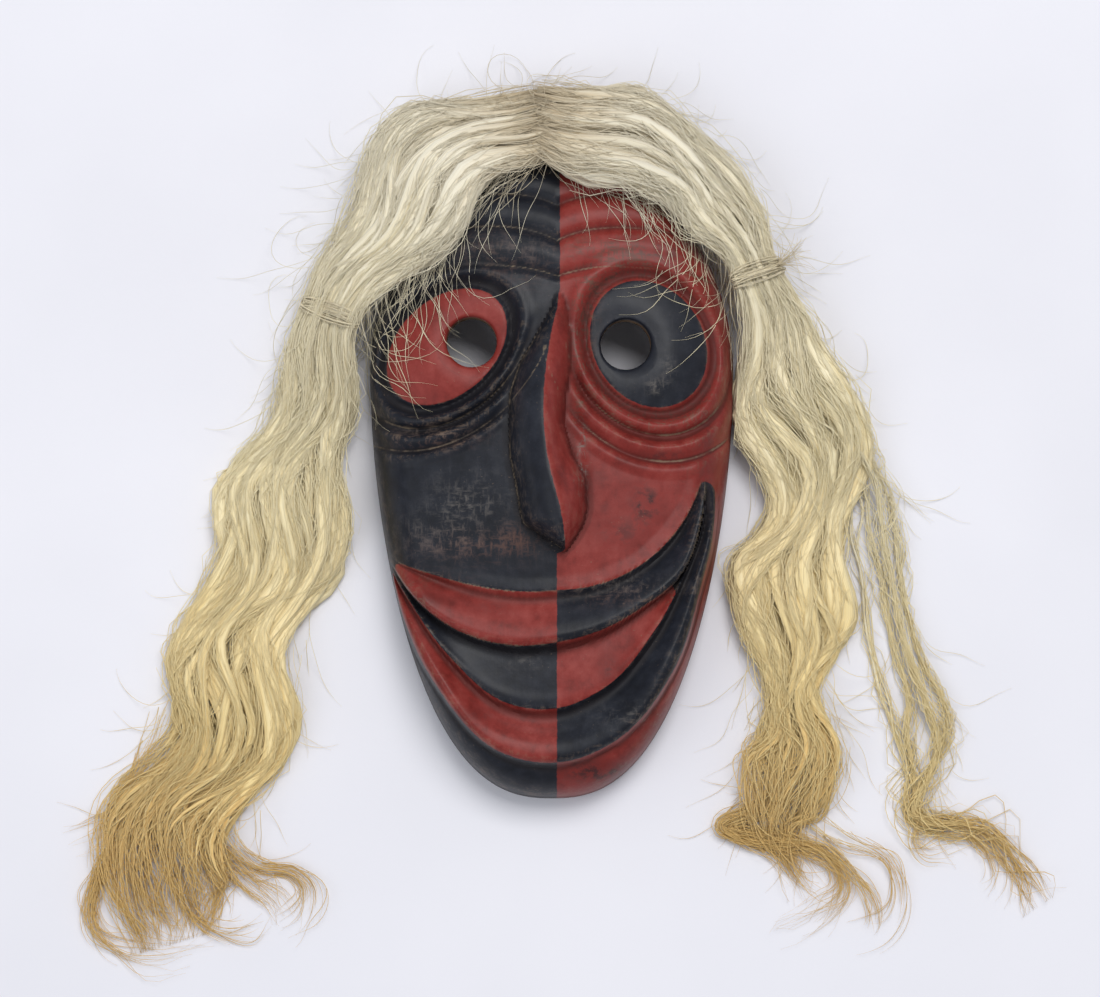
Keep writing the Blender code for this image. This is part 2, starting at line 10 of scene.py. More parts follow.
import bmesh
import bpy
import numpy as np
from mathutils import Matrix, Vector


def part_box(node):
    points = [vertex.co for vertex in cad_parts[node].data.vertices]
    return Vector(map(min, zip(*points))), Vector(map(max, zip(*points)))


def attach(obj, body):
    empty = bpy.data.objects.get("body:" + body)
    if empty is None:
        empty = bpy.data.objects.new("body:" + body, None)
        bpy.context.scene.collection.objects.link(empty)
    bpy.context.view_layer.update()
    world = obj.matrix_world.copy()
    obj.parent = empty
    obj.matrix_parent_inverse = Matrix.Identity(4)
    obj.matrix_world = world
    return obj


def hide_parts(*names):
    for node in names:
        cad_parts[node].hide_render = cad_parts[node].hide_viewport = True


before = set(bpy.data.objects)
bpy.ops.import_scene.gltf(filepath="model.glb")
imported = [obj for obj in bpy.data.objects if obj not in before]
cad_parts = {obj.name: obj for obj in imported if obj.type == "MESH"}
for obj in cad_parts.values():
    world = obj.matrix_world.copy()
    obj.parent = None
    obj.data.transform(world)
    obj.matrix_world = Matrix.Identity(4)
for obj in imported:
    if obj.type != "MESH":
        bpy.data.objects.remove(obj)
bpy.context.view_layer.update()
face_low, face_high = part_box("carved_face")
MILLIMETRE = 0.001


def in_mm(*lengths):
    """Lengths in metres as rounded millimetres, for printing."""
    return [round(float(length) / MILLIMETRE, 1) for length in lengths]


print("face box in mm:", in_mm(*face_low, *face_high))

# %% [markdown]
# A carver lays a face out in proportions, not in millimetres. The same is done here: s is a place across the face
# and t a place up it, both in shares of its length, with t from 0 at the chin to 1 at the top. Typing metres
# would work too, but shares stay right when the frame is another size, because its own box turns them into metres.

# %% Sizes and shares
FACE_LENGTH = face_high[1] - face_low[1]
FACE_WIDTH = face_high[0] - face_low[0]
CHIN_Y = face_low[1]
HALF_SPAN = 0.281
CHEEK_HEIGHT = 0.050
WALL = 0.0095
RIM_WIDTH = 0.0085
EYE_HOLE_RADIUS = 0.0107


def to_metres(s, t):
    """Metres across and up the face from shares: each share is scaled by the face's own width or length."""
    return s * FACE_WIDTH / (2 * HALF_SPAN), CHIN_Y + t * FACE_LENGTH


def to_shares(x, y):
    """The other way round: shares from metres."""
    return x * 2 * HALF_SPAN / FACE_WIDTH, (y - CHIN_Y) / FACE_LENGTH


def eased(share):
    """A smooth step from 0 to 1: three times the square less twice the cube."""
    share = np.clip(share, 0, 1)
    return share * share * (3 - 2 * share)


def smooth_table(x, knots, values, steady=False):
    """A curve through named values: between two knots it is the cubic that has the slopes of its neighbours. A
    steady one takes the harmonic mean of the slopes on both sides, and nought at a crest, so it can't overshoot."""
    knots, values = np.asarray(knots, float), np.asarray(values, float)
    slopes = np.gradient(values, knots)
    if steady:
        rises = np.diff(values) / np.diff(knots)
        product, total = rises[:-1] * rises[1:], rises[:-1] + rises[1:]
        slopes[1:-1] = np.where(product > 0, 2 * product / np.where(product > 0, total, 1), 0)
    i = np.clip(np.searchsorted(knots, x) - 1, 0, len(knots) - 2)
    span = knots[i + 1] - knots[i]
    u = np.clip((x - knots[i]) / span, 0, 1)
    rise = values[i] * (1 + 2 * u) * (1 - u) ** 2 + values[i + 1] * u * u * (3 - 2 * u)
    return rise + span * (slopes[i] * u * (1 - u) ** 2 - slopes[i + 1] * u * u * (1 - u))


print("face length and width in mm:", in_mm(FACE_LENGTH, FACE_WIDTH))

# %% [markdown]
# The real mask starts as a plain domed billet, before any feature is cut. It could be modelled by pulling a
# mesh about, but a formula is exact and easy to change. The outline is an egg: a jaw curve and a brow curve that
# meet at the widest level. The front is a dome with a rounded shoulder, and chin and brow fall away a little.

# %% The plain billet
WIDEST = 0.66
MIDDLE = 0.53
CHIN_LEVEL, CHIN_RECEDE = 0.35, 0.20
BROW_LEVEL, BROW_RECEDE = 0.74, 0.14
DOME = 0.20
SHOULDER_RADIUS = 0.016
SHOULDER_START = 0.30
JAW_POWER, JAW_ROOT = 1.75, 0.4
BROW_POWER, BROW_ROOT = 1.9, 0.5
OUTLINE_POINTS = 600


def half_span(t):
    """Half the outline's width: one less a power of the way down to the chin or up to the top, then a root."""
    jaw = np.clip((WIDEST - t) / WIDEST, 0, 1)
    brow = np.clip((t - WIDEST) / (1 - WIDEST), 0, 1)
    below, above = (1 - jaw**JAW_POWER) ** JAW_ROOT, (1 - brow**BROW_POWER) ** BROW_ROOT
    return HALF_SPAN * np.where(t < WIDEST, below, above)


OUTLINE_LEVELS = 0.5 - 0.5 * np.cos(np.linspace(0, math.pi, OUTLINE_POINTS))
OUTLINE_ANGLE = np.arctan2(OUTLINE_LEVELS - MIDDLE, half_span(OUTLINE_LEVELS))
OUTLINE_REACH = np.hypot(half_span(OUTLINE_LEVELS), OUTLINE_LEVELS - MIDDLE)


def reach_at(s, t):
    """Distance from the middle of the face to its outline, read off the outline by angle."""
    return np.interp(np.arctan2(t - MIDDLE, np.abs(s)), OUTLINE_ANGLE, OUTLINE_REACH)


def from_edge(s, t):
    """Metres from a place to the outline, along the line to the middle: positive inside, negative outside."""
    return (reach_at(s, t) - np.hypot(s, t - MIDDLE)) * FACE_LENGTH


def plain_front(s, t, inset=0.0):
    """Cheek height, less the fall of chin and brow, times a dome that sinks with the square of the way out,
    times a quarter circle for the shoulder."""
    away = np.hypot(s, t - MIDDLE)
    reach = reach_at(s, t)
    edge = (reach - away) * FACE_LENGTH - inset
    chin = CHIN_RECEDE * np.clip((CHIN_LEVEL - t) / CHIN_LEVEL, 0, 1) ** 2
    brow = BROW_RECEDE * np.clip((t - BROW_LEVEL) / (1 - BROW_LEVEL), 0, 1) ** 2
    dome = 1 - DOME * np.clip(away / reach, 0, 1) ** 2
    across = 1 - np.clip(edge / SHOULDER_RADIUS, 0, 1)
    shoulder = SHOULDER_START + (1 - SHOULDER_START) * np.sqrt(np.clip(1 - across**2, 0, 1))
    return CHEEK_HEIGHT * (1 - chin - brow) * dome * shoulder


print("billet's height at the chin, the middle and the top in mm:",
      in_mm(*plain_front(np.zeros(3), np.array((0.1, MIDDLE, 0.9)))))

# %% [markdown]
# Each eye of the mask is a tilted oval that bulges in a broad socket, with a dished hole and rings of lids and bags
# round it. Each ring could be a curve of its own, but they all follow the oval. So the distance from the oval is
# worked out first, and one table of heights, read by that distance, carves all the rings at once.

# %% The eyes
EYES = {
    "left": dict(at=(-0.160, 0.688), half=(0.1045, 0.0735), turn=43.0, hole=(-0.122, 0.695), lid=0.88),
    "right": dict(at=(0.147, 0.692), half=(0.1015, 0.0846), turn=120.0, hole=(0.112, 0.691), lid=1.0),
}
SOCKET_DEPTH = 0.0050
SOCKET_REACH = 1.5
EYEBALL_RISE = 0.0040
DISH_DEPTH = 0.0022
DISH_REACH = 1.45
FOLD_RUN = (0.0, 0.0022, 0.0036, 0.0072, 0.0102, 0.0112, 0.0165, 0.0208, 0.0220, 0.0245, 0.0300)
FOLD_LOW = (0.0, -0.0024, -0.0020, 0.0024, 0.0004, -0.0016, 0.0017, -0.0008, -0.0017, 0.0004, 0.0)
FOLD_HIGH = (0.0, -0.0022, -0.0016, 0.0022, 0.0018, 0.0014, 0.0006, 0.0002, 0.0, 0.0, 0.0)
FOLD_FADE = 0.030


def eye_size(eye):
    """The oval's middling radius in metres: the root of its two halves multiplied."""
    return math.sqrt(eye["half"][0] * eye["half"][1]) * FACE_LENGTH


def eye_reach(s, t, eye):
    """Distance from the eye's middle in its own turned axes, where 1 is its oval."""
    turn = math.radians(eye["turn"])
    ds, dt = s - eye["at"][0], t - eye["at"][1]
    along = (ds * math.cos(turn) + dt * math.sin(turn)) / eye["half"][0]
    aside = (dt * math.cos(turn) - ds * math.sin(turn)) / eye["half"][1]
    return np.hypot(along, aside)


def hole_reach(s, t, eye):
    """Distance from the hole's middle, where 1 is its edge."""
    return np.hypot(s - eye["hole"][0], t - eye["hole"][1]) * FACE_LENGTH / EYE_HOLE_RADIUS


def socket(s, t, eye):
    """The broad bowl that the eye sits in: a flat-bottomed bell turned upside down."""
    return -SOCKET_DEPTH * np.exp(-((eye_reach(s, t, eye) / SOCKET_REACH) ** 4))


print("middling radius of the eyes in mm:", in_mm(*[eye_size(eye) for eye in EYES.values()]))

# %% [markdown]
# The nose is long, crooked and sharply cut. A sculpted mesh would do, but a carver thinks in sections: level by
# level there is a left edge, a ridge and a right edge, and between them the wood rises as a rounded flank. Tables
# of those three lines give the shape, and the ridge's line serves once more as the place where the colours meet.

# %% The nose
NOSE_RISE = 0.024
NOSE_T = (0.771, 0.745, 0.702, 0.658, 0.615, 0.568, 0.520, 0.482, 0.438, 0.417, 0.397, 0.3785, 0.374)
NOSE_LEFT = (0.007, 0.000, -0.024, -0.049, -0.063, -0.0645, -0.063, -0.055, -0.048, -0.043, -0.014, 0.017, 0.020)
NOSE_RIDGE = (0.011, 0.008, -0.0015, -0.008, -0.0125, -0.0125, -0.008, 0.000, 0.012, 0.016, 0.0185, 0.020, 0.0202)
NOSE_RIGHT = (0.015, 0.022, 0.028, 0.028, 0.0215, 0.018, 0.031, 0.051, 0.053, 0.048, 0.037, 0.0235, 0.0206)
NOSE_SHARE = (0.0, 0.14, 0.34, 0.54, 0.70, 0.82, 0.92, 0.98, 1.0, 1.0, 0.90, 0.55, 0.0)
LEFT_FLANK, RIGHT_FLANK = (2.0, 0.62), (1.6, 0.8)
NOSTRIL = dict(at=(0.040, 0.487), half=(0.012, 0.034), rise=0.0030)
NOSE_LEAD = 0.15
BELOW_START, BELOW_FALL = 0.55, 0.75


def nose_at(t, *edges):
    """The nose's edges at level t, read straight off their tables."""
    return [np.interp(-np.asarray(t, float), -np.array(NOSE_T), edge) for edge in edges]


def off_nose(s, t):
    """1 away from the nose, easing to 0 on it."""
    left, right = nose_at(t, NOSE_LEFT, NOSE_RIGHT)
    return eased(np.maximum(left - s, s - right) / FOLD_FADE + NOSE_LEAD)


def nose_relief(s, t):
    """The full rise, times the level's share, times a flank that falls from ridge to edge as a rounded power,
    and a small bell for the nostril wing."""
    left, ridge, right = nose_at(t, NOSE_LEFT, NOSE_RIDGE, NOSE_RIGHT)
    share = np.clip(smooth_table(-np.asarray(t, float), -np.array(NOSE_T), NOSE_SHARE), 0, 1)
    on_left = s < ridge
    width = np.where(on_left, ridge - left, right - ridge)
    aside = np.clip(np.abs(s - ridge) / np.maximum(width, 1e-4), 0, 1)
    across = np.where(on_left, *[(1 - aside**power) ** root for power, root in (LEFT_FLANK, RIGHT_FLANK)])
    ds, dt = (s - NOSTRIL["at"][0]) / NOSTRIL["half"][0], (t - NOSTRIL["at"][1]) / NOSTRIL["half"][1]
    wing = NOSTRIL["rise"] * np.exp(-(ds**2) - dt**2)
    inside = (t < NOSE_T[0]) & (t > NOSE_T[-1])
    return np.where(inside, NOSE_RISE * share * across + wing, 0.0)


def eye_relief(s, t, eye):
    """A bulge that falls with the square of the reach, a dish round the hole, and the ring profile, which uses
    its deep table below the eye and its shallow one above."""
    q = eye_reach(s, t, eye)
    ball = EYEBALL_RISE * np.clip(1 - q**2, 0, 1)
    dish = -DISH_DEPTH * np.exp(-((hole_reach(s, t, eye) / DISH_REACH) ** 4))
    run = np.clip(q - 1, 0, None) * eye_size(eye) / eye["lid"]
    below = eased(BELOW_START - BELOW_FALL * (t - eye["at"][1]) * FACE_LENGTH / eye_size(eye))
    folds = below * smooth_table(run, FOLD_RUN, FOLD_LOW) + (1 - below) * smooth_table(run, FOLD_RUN, FOLD_HIGH)
    return ball + dish + folds * off_nose(s, t)


print("nose's rise above the cheeks in mm:", in_mm(nose_relief(np.array(NOSE_RIDGE), np.array(NOSE_T)).max()))

# %% [markdown]
# The broad grin is two lips with the open mouth between them. The edges could be drawn as four separate curves,
# but they all swing round one place high above the mouth. So each edge is a distance from there that changes with
# the angle, and between two edges a short profile of heights runs across the lip. Each lip laps over the next.

# %% The mouth
MOUTH_MIDDLE = (0.0077, 0.5646)
LIP_ANGLE = (20, 35, 50, 65, 80, 90, 100, 115, 128, 140)
UPPER_TOP = (0.2335, 0.2385, 0.2431, 0.2469, 0.2485, 0.2492, 0.2554, 0.2692, 0.2892, 0.3169)
UPPER_BOTTOM = (0.2385, 0.2646, 0.2923, 0.3031, 0.3185, 0.3277, 0.3377, 0.3438, 0.3385, 0.3262)
LOWER_TOP = (0.2400, 0.2677, 0.2969, 0.3446, 0.4031, 0.4269, 0.4262, 0.3846, 0.3508, 0.3308)
LOWER_BOTTOM = (0.2545, 0.2890, 0.3338, 0.4123, 0.4862, 0.5092, 0.5000, 0.4323, 0.3754, 0.3292)
LIP_RUN = (0.0, 0.07, 0.14, 0.40, 0.72, 0.90, 1.0)
UPPER_HEIGHT = (0.0008, -0.0008, -0.0018, 0.0010, 0.0046, 0.0057, 0.0046)
MOUTH_HEIGHT = (0.0042, -0.0010, -0.0040, -0.0028, -0.0010, 0.0002, 0.0004)
LOWER_HEIGHT = (0.0004, -0.0022, -0.0036, -0.0006, 0.0041, 0.0052, 0.0038)
FULL_MOUTH = 0.070
LIP_LEAD = 0.006
CHIN_CUT = 0.0022
CHIN_RUN = 0.012
CHIN_STEP = 0.18
LIP_FADE = 6.0
RIGHT_LEAD, LEFT_LEAD = 0.3, 1.0


def mouth_place(s, t):
    """Angle clockwise from the right, distance from the mouth's centre, and the four edges at that angle."""
    ds, dt = s - MOUTH_MIDDLE[0], t - MOUTH_MIDDLE[1]
    angle = np.degrees(np.arctan2(-dt, ds)) % 360
    turned = np.clip(angle, LIP_ANGLE[0], LIP_ANGLE[-1])
    tables = (UPPER_TOP, UPPER_BOTTOM, LOWER_TOP, LOWER_BOTTOM)
    return angle, np.hypot(ds, dt), [smooth_table(turned, LIP_ANGLE, edge) for edge in tables]


def mouth_relief(s, t):
    """Each band between two edges takes its height profile by the share of the way across, and everything
    fades out past the corners."""
    angle, away, edges = mouth_place(s, t)
    height = UPPER_HEIGHT[0] * np.clip(1 - (edges[0] - away) * FACE_LENGTH / LIP_LEAD, 0, 1)
    for inner, outer, profile in zip(edges, edges[1:], (UPPER_HEIGHT, MOUTH_HEIGHT, LOWER_HEIGHT)):
        across = (away - inner) / np.maximum(outer - inner, 1e-4)
        height = np.where(away >= inner, smooth_table(across, LIP_RUN, profile, steady=True), height)
    past = (away - edges[3]) * FACE_LENGTH / CHIN_RUN
    chin = np.interp(past, (0.0, CHIN_STEP, 1.0), (LOWER_HEIGHT[-1], -CHIN_CUT, 0.0))
    height = np.where(past >= 0, chin, height) * eased((edges[3] - edges[0]) / FULL_MOUTH)
    right_fade = eased((angle - LIP_ANGLE[0]) / LIP_FADE + RIGHT_LEAD)
    left_fade = eased((LIP_ANGLE[-1] - angle) / LIP_FADE + LEFT_LEAD)
    return height * right_fade * left_fade


print("place that the lips swing round in mm:", in_mm(*to_metres(*MOUTH_MIDDLE)))

# %% [markdown]
# The forehead of the real mask has shallow V-shaped creases, cut with a few strokes, and soft rolls between them.
# They could be left to a bump in the paint, but light from the side shows their depth. So they are heights too:
# a groove along each crease, and a bell between two. Then all the reliefs are added up into the whole carving.

# %% The forehead, and the whole carving
CREASES = ((0.962, 0.020, 0.045), (0.905, 0.026, 0.045), (0.850, 0.034, 0.060), (0.795, 0.030, 0.080))
CREASE_MIDDLE = 0.008
CREASE_DROOP = 0.55
CREASE_DEPTH = 0.0018
CREASE_HALF_WIDTH = 0.0030
ROLL_HEIGHT = 0.0012
ROLL_SPREAD = 0.018
EYE_CLEAR, EYE_BLEND = 1.25, 0.35
BROW_BLEND = 0.05
HOLLOW_NOSE = 0.25
HOLLOW_NOSE_MIDDLE = 0.50
HOLLOW_NOSE_HALF = (0.050, 0.13)


def crease_level(s, crease):
    """The level of a crease: a V whose arms flatten out as an exponential and droop with the square."""
    middle, rise, run = crease
    return middle + rise * (1 - np.exp(-np.abs(s - CREASE_MIDDLE) / run)) - CREASE_DROOP * s**2


def forehead_relief(s, t):
    """A straight-sided groove along each crease and a bell-shaped roll between two of them, kept off the eyes."""
    levels = [crease_level(s, crease) for crease in CREASES]
    height = 0.0
    for level in levels:
        aside = np.abs(t - level) * FACE_LENGTH / CREASE_HALF_WIDTH
        height = height - CREASE_DEPTH * np.clip(1 - aside, 0, 1)
    for upper, lower in zip(levels, levels[1:]):
        height = height + ROLL_HEIGHT * np.exp(-(((t - (upper + lower) / 2) / ROLL_SPREAD) ** 2))
    for eye in EYES.values():
        height = height * eased((eye_reach(s, t, eye) - EYE_CLEAR) / EYE_BLEND)
    return height * eased((t - BROW_LEVEL) / BROW_BLEND)


def face_height(s, t):
    """Height of the carved front above the back rim: the billet and every relief added up."""
    height = plain_front(s, t) + nose_relief(s, t) + mouth_relief(s, t) + forehead_relief(s, t)
    for eye in EYES.values():
        height = height + socket(s, t, eye) + eye_relief(s, t, eye)
    return height


def hollow_height(s, t):
    """Height of the hollow behind: the billet and sockets less the wall, and a soft rise behind the nose."""
    height = plain_front(s, t, inset=RIM_WIDTH) - WALL
    for eye in EYES.values():
        height = height + socket(s, t, eye)
    across, along = s / HOLLOW_NOSE_HALF[0], (t - HOLLOW_NOSE_MIDDLE) / HOLLOW_NOSE_HALF[1]
    return height + HOLLOW_NOSE * NOSE_RISE * np.exp(-(across**2) - along**4)


print("nose's tip above the rim in mm:", in_mm(face_height(np.array(NOSE_RIDGE), np.array(NOSE_T)).max()))

# %% [markdown]
# A height function becomes a mesh on a grid of points. A square grid that is trimmed to the outline would leave a
# ragged edge, and one made of rings would crowd its points in the middle. So the square is pressed into a disc,
# and the disc is stretched to the outline: the rows stay even, and their ends lie exactly on the edge.

# %% A grid pressed into the outline
FRONT_GRID = (210, 300)
HOLLOW_GRID = (40, 70)


def oval_grid(cells, inset):
    """Places (s, t) of a square grid: each point moves to a disc by the root of one less half the other
    coordinate's square, and then out to the outline along its angle."""
    across, along = np.meshgrid(np.linspace(-1, 1, cells[0] + 1), np.linspace(-1, 1, cells[1] + 1))
    disc = np.array((across * np.sqrt(1 - along**2 / 2), along * np.sqrt(1 - across**2 / 2)))
    away = np.linalg.norm(disc, axis=0)
    toward = disc / np.maximum(away, 1e-9)
    reach = (reach_at(toward[0], MIDDLE + toward[1]) - inset / FACE_LENGTH) * away
    return toward[0] * reach, MIDDLE + toward[1] * reach


def grid_quads(rows, columns):
    """Corners of every cell of a grid, turned so that the faces look up."""
    number = np.arange(rows * columns).reshape(rows, columns)
    corners = (number[:-1, :-1], number[:-1, 1:], number[1:, 1:], number[1:, :-1])
    return np.stack(corners, axis=-1).reshape(-1, 4)


def perimeter(rows, columns):
    """Numbers of the grid's edge points, once round and anticlockwise."""
    number = np.arange(rows * columns).reshape(rows, columns)
    return np.concatenate((number[0, :-1], number[:-1, -1], number[-1, :0:-1], number[:0:-1, 0]))


print("points of the front's grid and of its edge:", (FRONT_GRID[0] + 1) * (FRONT_GRID[1] + 1),
      len(perimeter(FRONT_GRID[1] + 1, FRONT_GRID[0] + 1)))

# %% [markdown]
# The piece itself is a Blender object with a mesh. Adding points one by one is slow in Python, so whole arrays are
# written in one go. Each new piece is told which body it moves with and, where it stands in for a CAD solid, which
# node it replaces.

# %% From arrays to a piece
def mesh_of(name, points, faces):
    """A mesh from an array of points and arrays of faces, written in one go with foreach_set."""
    mesh = bpy.data.meshes.new(name)
    faces = [np.asarray(group, dtype=np.int32) for group in faces if len(group)]
    corners = np.concatenate([group.ravel() for group in faces])
    sizes = np.concatenate([np.full(len(group), group.shape[1], dtype=np.int32) for group in faces])
    mesh.vertices.add(len(points))
    mesh.vertices.foreach_set("co", np.asarray(points, dtype=np.float32).ravel())
    mesh.loops.add(len(corners))
    mesh.loops.foreach_set("vertex_index", corners)
    mesh.polygons.add(len(sizes))
    mesh.polygons.foreach_set("loop_start", np.concatenate(([0], np.cumsum(sizes)[:-1])).astype(np.int32))
    mesh.update(calc_edges=True)
    mesh.validate()
    return mesh


def new_piece(name, mesh, node):
    """An object that stands for a CAD node and moves with the part's one body."""
    piece = bpy.data.objects.new(name, mesh)
    bpy.context.scene.collection.objects.link(piece)
    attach(piece, "root")
    if node:
        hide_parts(node)
    return piece


def triangles_in(mesh):
    """How many triangles the mesh's faces come to."""
    return sum(len(face.vertices) - 2 for face in mesh.polygons)


# %% [markdown]
# The front is still an open sheet. To carve into it, it has to be a closed block, like the billet on the bench.
# Its edge is drawn down to a level through a few rows, which round the foot a little, and one flat face closes it.
# The hollow's cutter is made by the same function, so that both follow the same outline.

# %% Close a sheet into a solid
SIDE_PROFILE = ((0.80, 0.0), (0.55, 0.00025), (0.30, 0.0002), (0.08, -0.0003), (0.02, -0.0009), (0.0, -0.0016))


def walls_between(rings, flip=False):
    """Quads between each ring of point numbers and the next one, the other way round when flipped."""
    quads = []
    for first, second in zip(rings, rings[1:]):
        next_first, next_second = np.roll(first, -1), np.roll(second, -1)
        corners = (first, second, next_second, next_first) if flip else (first, next_first, next_second, second)
        quads.append(np.stack(corners, axis=-1))
    return quads


def oval_solid(name, cells, inset, height, sides, level):
    """A height sheet over the oval, drawn down to a level through rows of (share of the height, way outwards)
    and closed with one flat face."""
    s, t = oval_grid(cells, inset)
    rows, columns = s.shape
    top = np.stack((*to_metres(s, t), height(s, t)), axis=-1).reshape(-1, 3)
    loop = perimeter(rows, columns)
    edge = top[loop]
    outward = edge[:, :2] - edge[:, :2].mean(axis=0)
    outward = outward / np.linalg.norm(outward, axis=1, keepdims=True)
    rings = [np.column_stack((edge[:, :2] + outward * way, level + (edge[:, 2] - level) * share))
             for share, way in sides]
    points = np.concatenate([top] + rings)
    numbers = [loop] + [len(top) + len(loop) * i + np.arange(len(loop)) for i in range(len(rings))]
    mesh = mesh_of(name, points, [grid_quads(rows, columns)] + walls_between(numbers, flip=True))
    closed = bmesh.new()
    closed.from_mesh(mesh)
    open_edges = [edge for edge in closed.edges if edge.is_boundary]
    bmesh.ops.contextual_create(closed, geom=open_edges)
    bmesh.ops.recalc_face_normals(closed, faces=closed.faces)
    closed.to_mesh(mesh)
    closed.free()
    return mesh


front = oval_solid("front", FRONT_GRID, 0.0, face_height, SIDE_PROFILE, 0.0)
hollow = oval_solid("hollow", HOLLOW_GRID, RIM_WIDTH, hollow_height, ((0.0, 0.0),), -WALL)
print("triangles of the front and of the hollow's cutter:", triangles_in(front), triangles_in(hollow))

# %% [markdown]
# The real mask is one block of basswood: carved in front, hollowed behind with a knife, and bored through at
# the eyes. The holes could be left out of the grid, but that would need a mesh laid round them. The carver's own
# order is simpler: exact Booleans take the hollow and the two bores out of the block. Each bore is a turned
# profile that flares towards the front, which rounds the hole's edge as a knife does.

# %% Carve the face
BORE_SIDES = 64
BORE_FOOT, BORE_HEAD = -0.01, 0.09
BORE_HEAD_GROWTH = 1.6
BORE_PROFILE = ((0.00, 1.00), (0.30, 1.01), (0.50, 1.06), (0.60, 1.16), (0.70, 1.45))
BORE_EDGE = 0.60
BORE_FLARE = 0.0060


def bore_mesh(name, eye):
    """A turned cutter: rings of growing radius round the hole's axis. The profile's levels are shares of the
    flare, and its edge level lies at the front's own height beside the hole."""
    x, y = to_metres(*eye["hole"])
    side = to_shares(x + EYE_HOLE_RADIUS, y)
    beside = float(face_height(np.array(side[0]), np.array(side[1])))
    turn = 2 * math.pi * np.arange(BORE_SIDES) / BORE_SIDES
    flare = [(beside + (level - BORE_EDGE) * BORE_FLARE, growth) for level, growth in BORE_PROFILE]
    rings = []
    for z, growth in [(BORE_FOOT, 1.0)] + flare + [(BORE_HEAD, BORE_HEAD_GROWTH)]:
        radius = EYE_HOLE_RADIUS * growth
        rings.append(np.column_stack((x + radius * np.cos(turn), y + radius * np.sin(turn), np.full(BORE_SIDES, z))))
    numbers = [BORE_SIDES * i + np.arange(BORE_SIDES) for i in range(len(rings))]
    caps = [numbers[0][::-1][None, :], numbers[-1][None, :]]
    return mesh_of(name, np.concatenate(rings), walls_between(numbers) + caps)


def cut_away(piece, cutters):
    """Takes each cutter out of the piece with an exact Boolean, and keeps the result as the piece's mesh."""
    helpers = []
    for mesh in cutters:
        helper = bpy.data.objects.new(mesh.name, mesh)
        bpy.context.scene.collection.objects.link(helper)
        modifier = piece.modifiers.new(mesh.name, "BOOLEAN")
        modifier.operation = "DIFFERENCE"
        modifier.object = helper
        helpers.append(helper)
    graph = bpy.context.evaluated_depsgraph_get()
    carved = bpy.data.meshes.new_from_object(piece.evaluated_get(graph))
    piece.modifiers.clear()
    piece.data = carved
    for helper in helpers:
        bpy.data.objects.remove(helper)


mask_face = new_piece("mask_face", front, "carved_face")
cut_away(mask_face, [hollow] + [bore_mesh(f"bore_{side}", eye) for side, eye in EYES.items()])
print("triangles of the carved face:", triangles_in(mask_face.data))

# %% [markdown]
# Paint, bare wood, hair and floor are all finishes that Blender builds from nodes. They could be wired by hand in
# the Shader Editor, but then a reader couldn't follow the order. These short helpers add a node, set its inputs by
# name and give back its output, so that a finish reads as a list of layers, from the wood up.

# %% Helpers for finishes
def new_material(name, roughness):
    """A material with its node tree and its Principled shader."""
    material = bpy.data.materials.new(name)
    material.use_nodes = True
    shader = material.node_tree.nodes["Principled BSDF"]
    shader.inputs["Roughness"].default_value = roughness
    return material, material.node_tree, shader


def add_node(tree, kind, **settings):
    """A node with its plain settings and its inputs set by name."""
    node = tree.nodes.new(kind)
    inputs = settings.pop("inputs", {})
    for key, value in settings.items():
        setattr(node, key, value)
    for key, value in inputs.items():
        if isinstance(value, bpy.types.NodeSocket):
            tree.links.new(value, node.inputs[key])
        else:
            node.inputs[key].default_value = value
    return node


def colour_ramp(tree, factor, stops):
    """A ramp through (place, colour) stops."""
    node = add_node(tree, "ShaderNodeValToRGB", inputs={"Fac": factor})
    elements = node.color_ramp.elements
    while len(elements) < len(stops):
        elements.new(0.5)
    for element, (place, colour) in zip(elements, stops):
        element.position = place
        element.color = (*colour, 1.0)
    return node.outputs["Color"]


def mixed(tree, kind, factor, first, second):
    """Two colours mixed, multiplied or screened by a factor."""
    node = add_node(tree, "ShaderNodeMix", data_type="RGBA", blend_type=kind)
    for socket, value in ((node.inputs[0], factor), (node.inputs[6], first), (node.inputs[7], second)):
        if isinstance(value, bpy.types.NodeSocket):
            tree.links.new(value, socket)
        else:
            socket.default_value = value if isinstance(value, float) else (*value, 1.0)
    return node.outputs[2]


def sum_of(tree, operation, *values):
    """A Math node over sockets and numbers."""
    node = add_node(tree, "ShaderNodeMath", operation=operation)
    for socket, value in zip(node.inputs, values):
        if isinstance(value, bpy.types.NodeSocket):
            tree.links.new(value, socket)
        else:
            socket.default_value = value
    return node.outputs[0]


def stretched_noise(tree, vector, scale, size, detail, rough=0.5):
    """Noise read through a Mapping node that stretches it by a scale for each axis."""
    mapping = add_node(tree, "ShaderNodeMapping", inputs={"Vector": vector, "Scale": scale})
    inputs = {"Vector": mapping.outputs["Vector"], "Scale": size, "Detail": detail, "Roughness": rough}
    return add_node(tree, "ShaderNodeTexNoise", inputs=inputs).outputs["Fac"]


def step_mask(tree, value, low, high):
    """A value turned into 0 below low, 1 above high and a smooth step between them."""
    node = add_node(tree, "ShaderNodeMapRange", interpolation_type="SMOOTHSTEP",
                    inputs={"Value": value, "From Min": low, "From Max": high})
    return node.outputs["Result"]


def vector_parts(tree, name):
    """The three numbers of an attribute."""
    vector = add_node(tree, "ShaderNodeAttribute", attribute_name=name).outputs["Vector"]
    return add_node(tree, "ShaderNodeSeparateXYZ", inputs={"Vector": vector}).outputs


print("materials before the finishes:", len(bpy.data.materials))
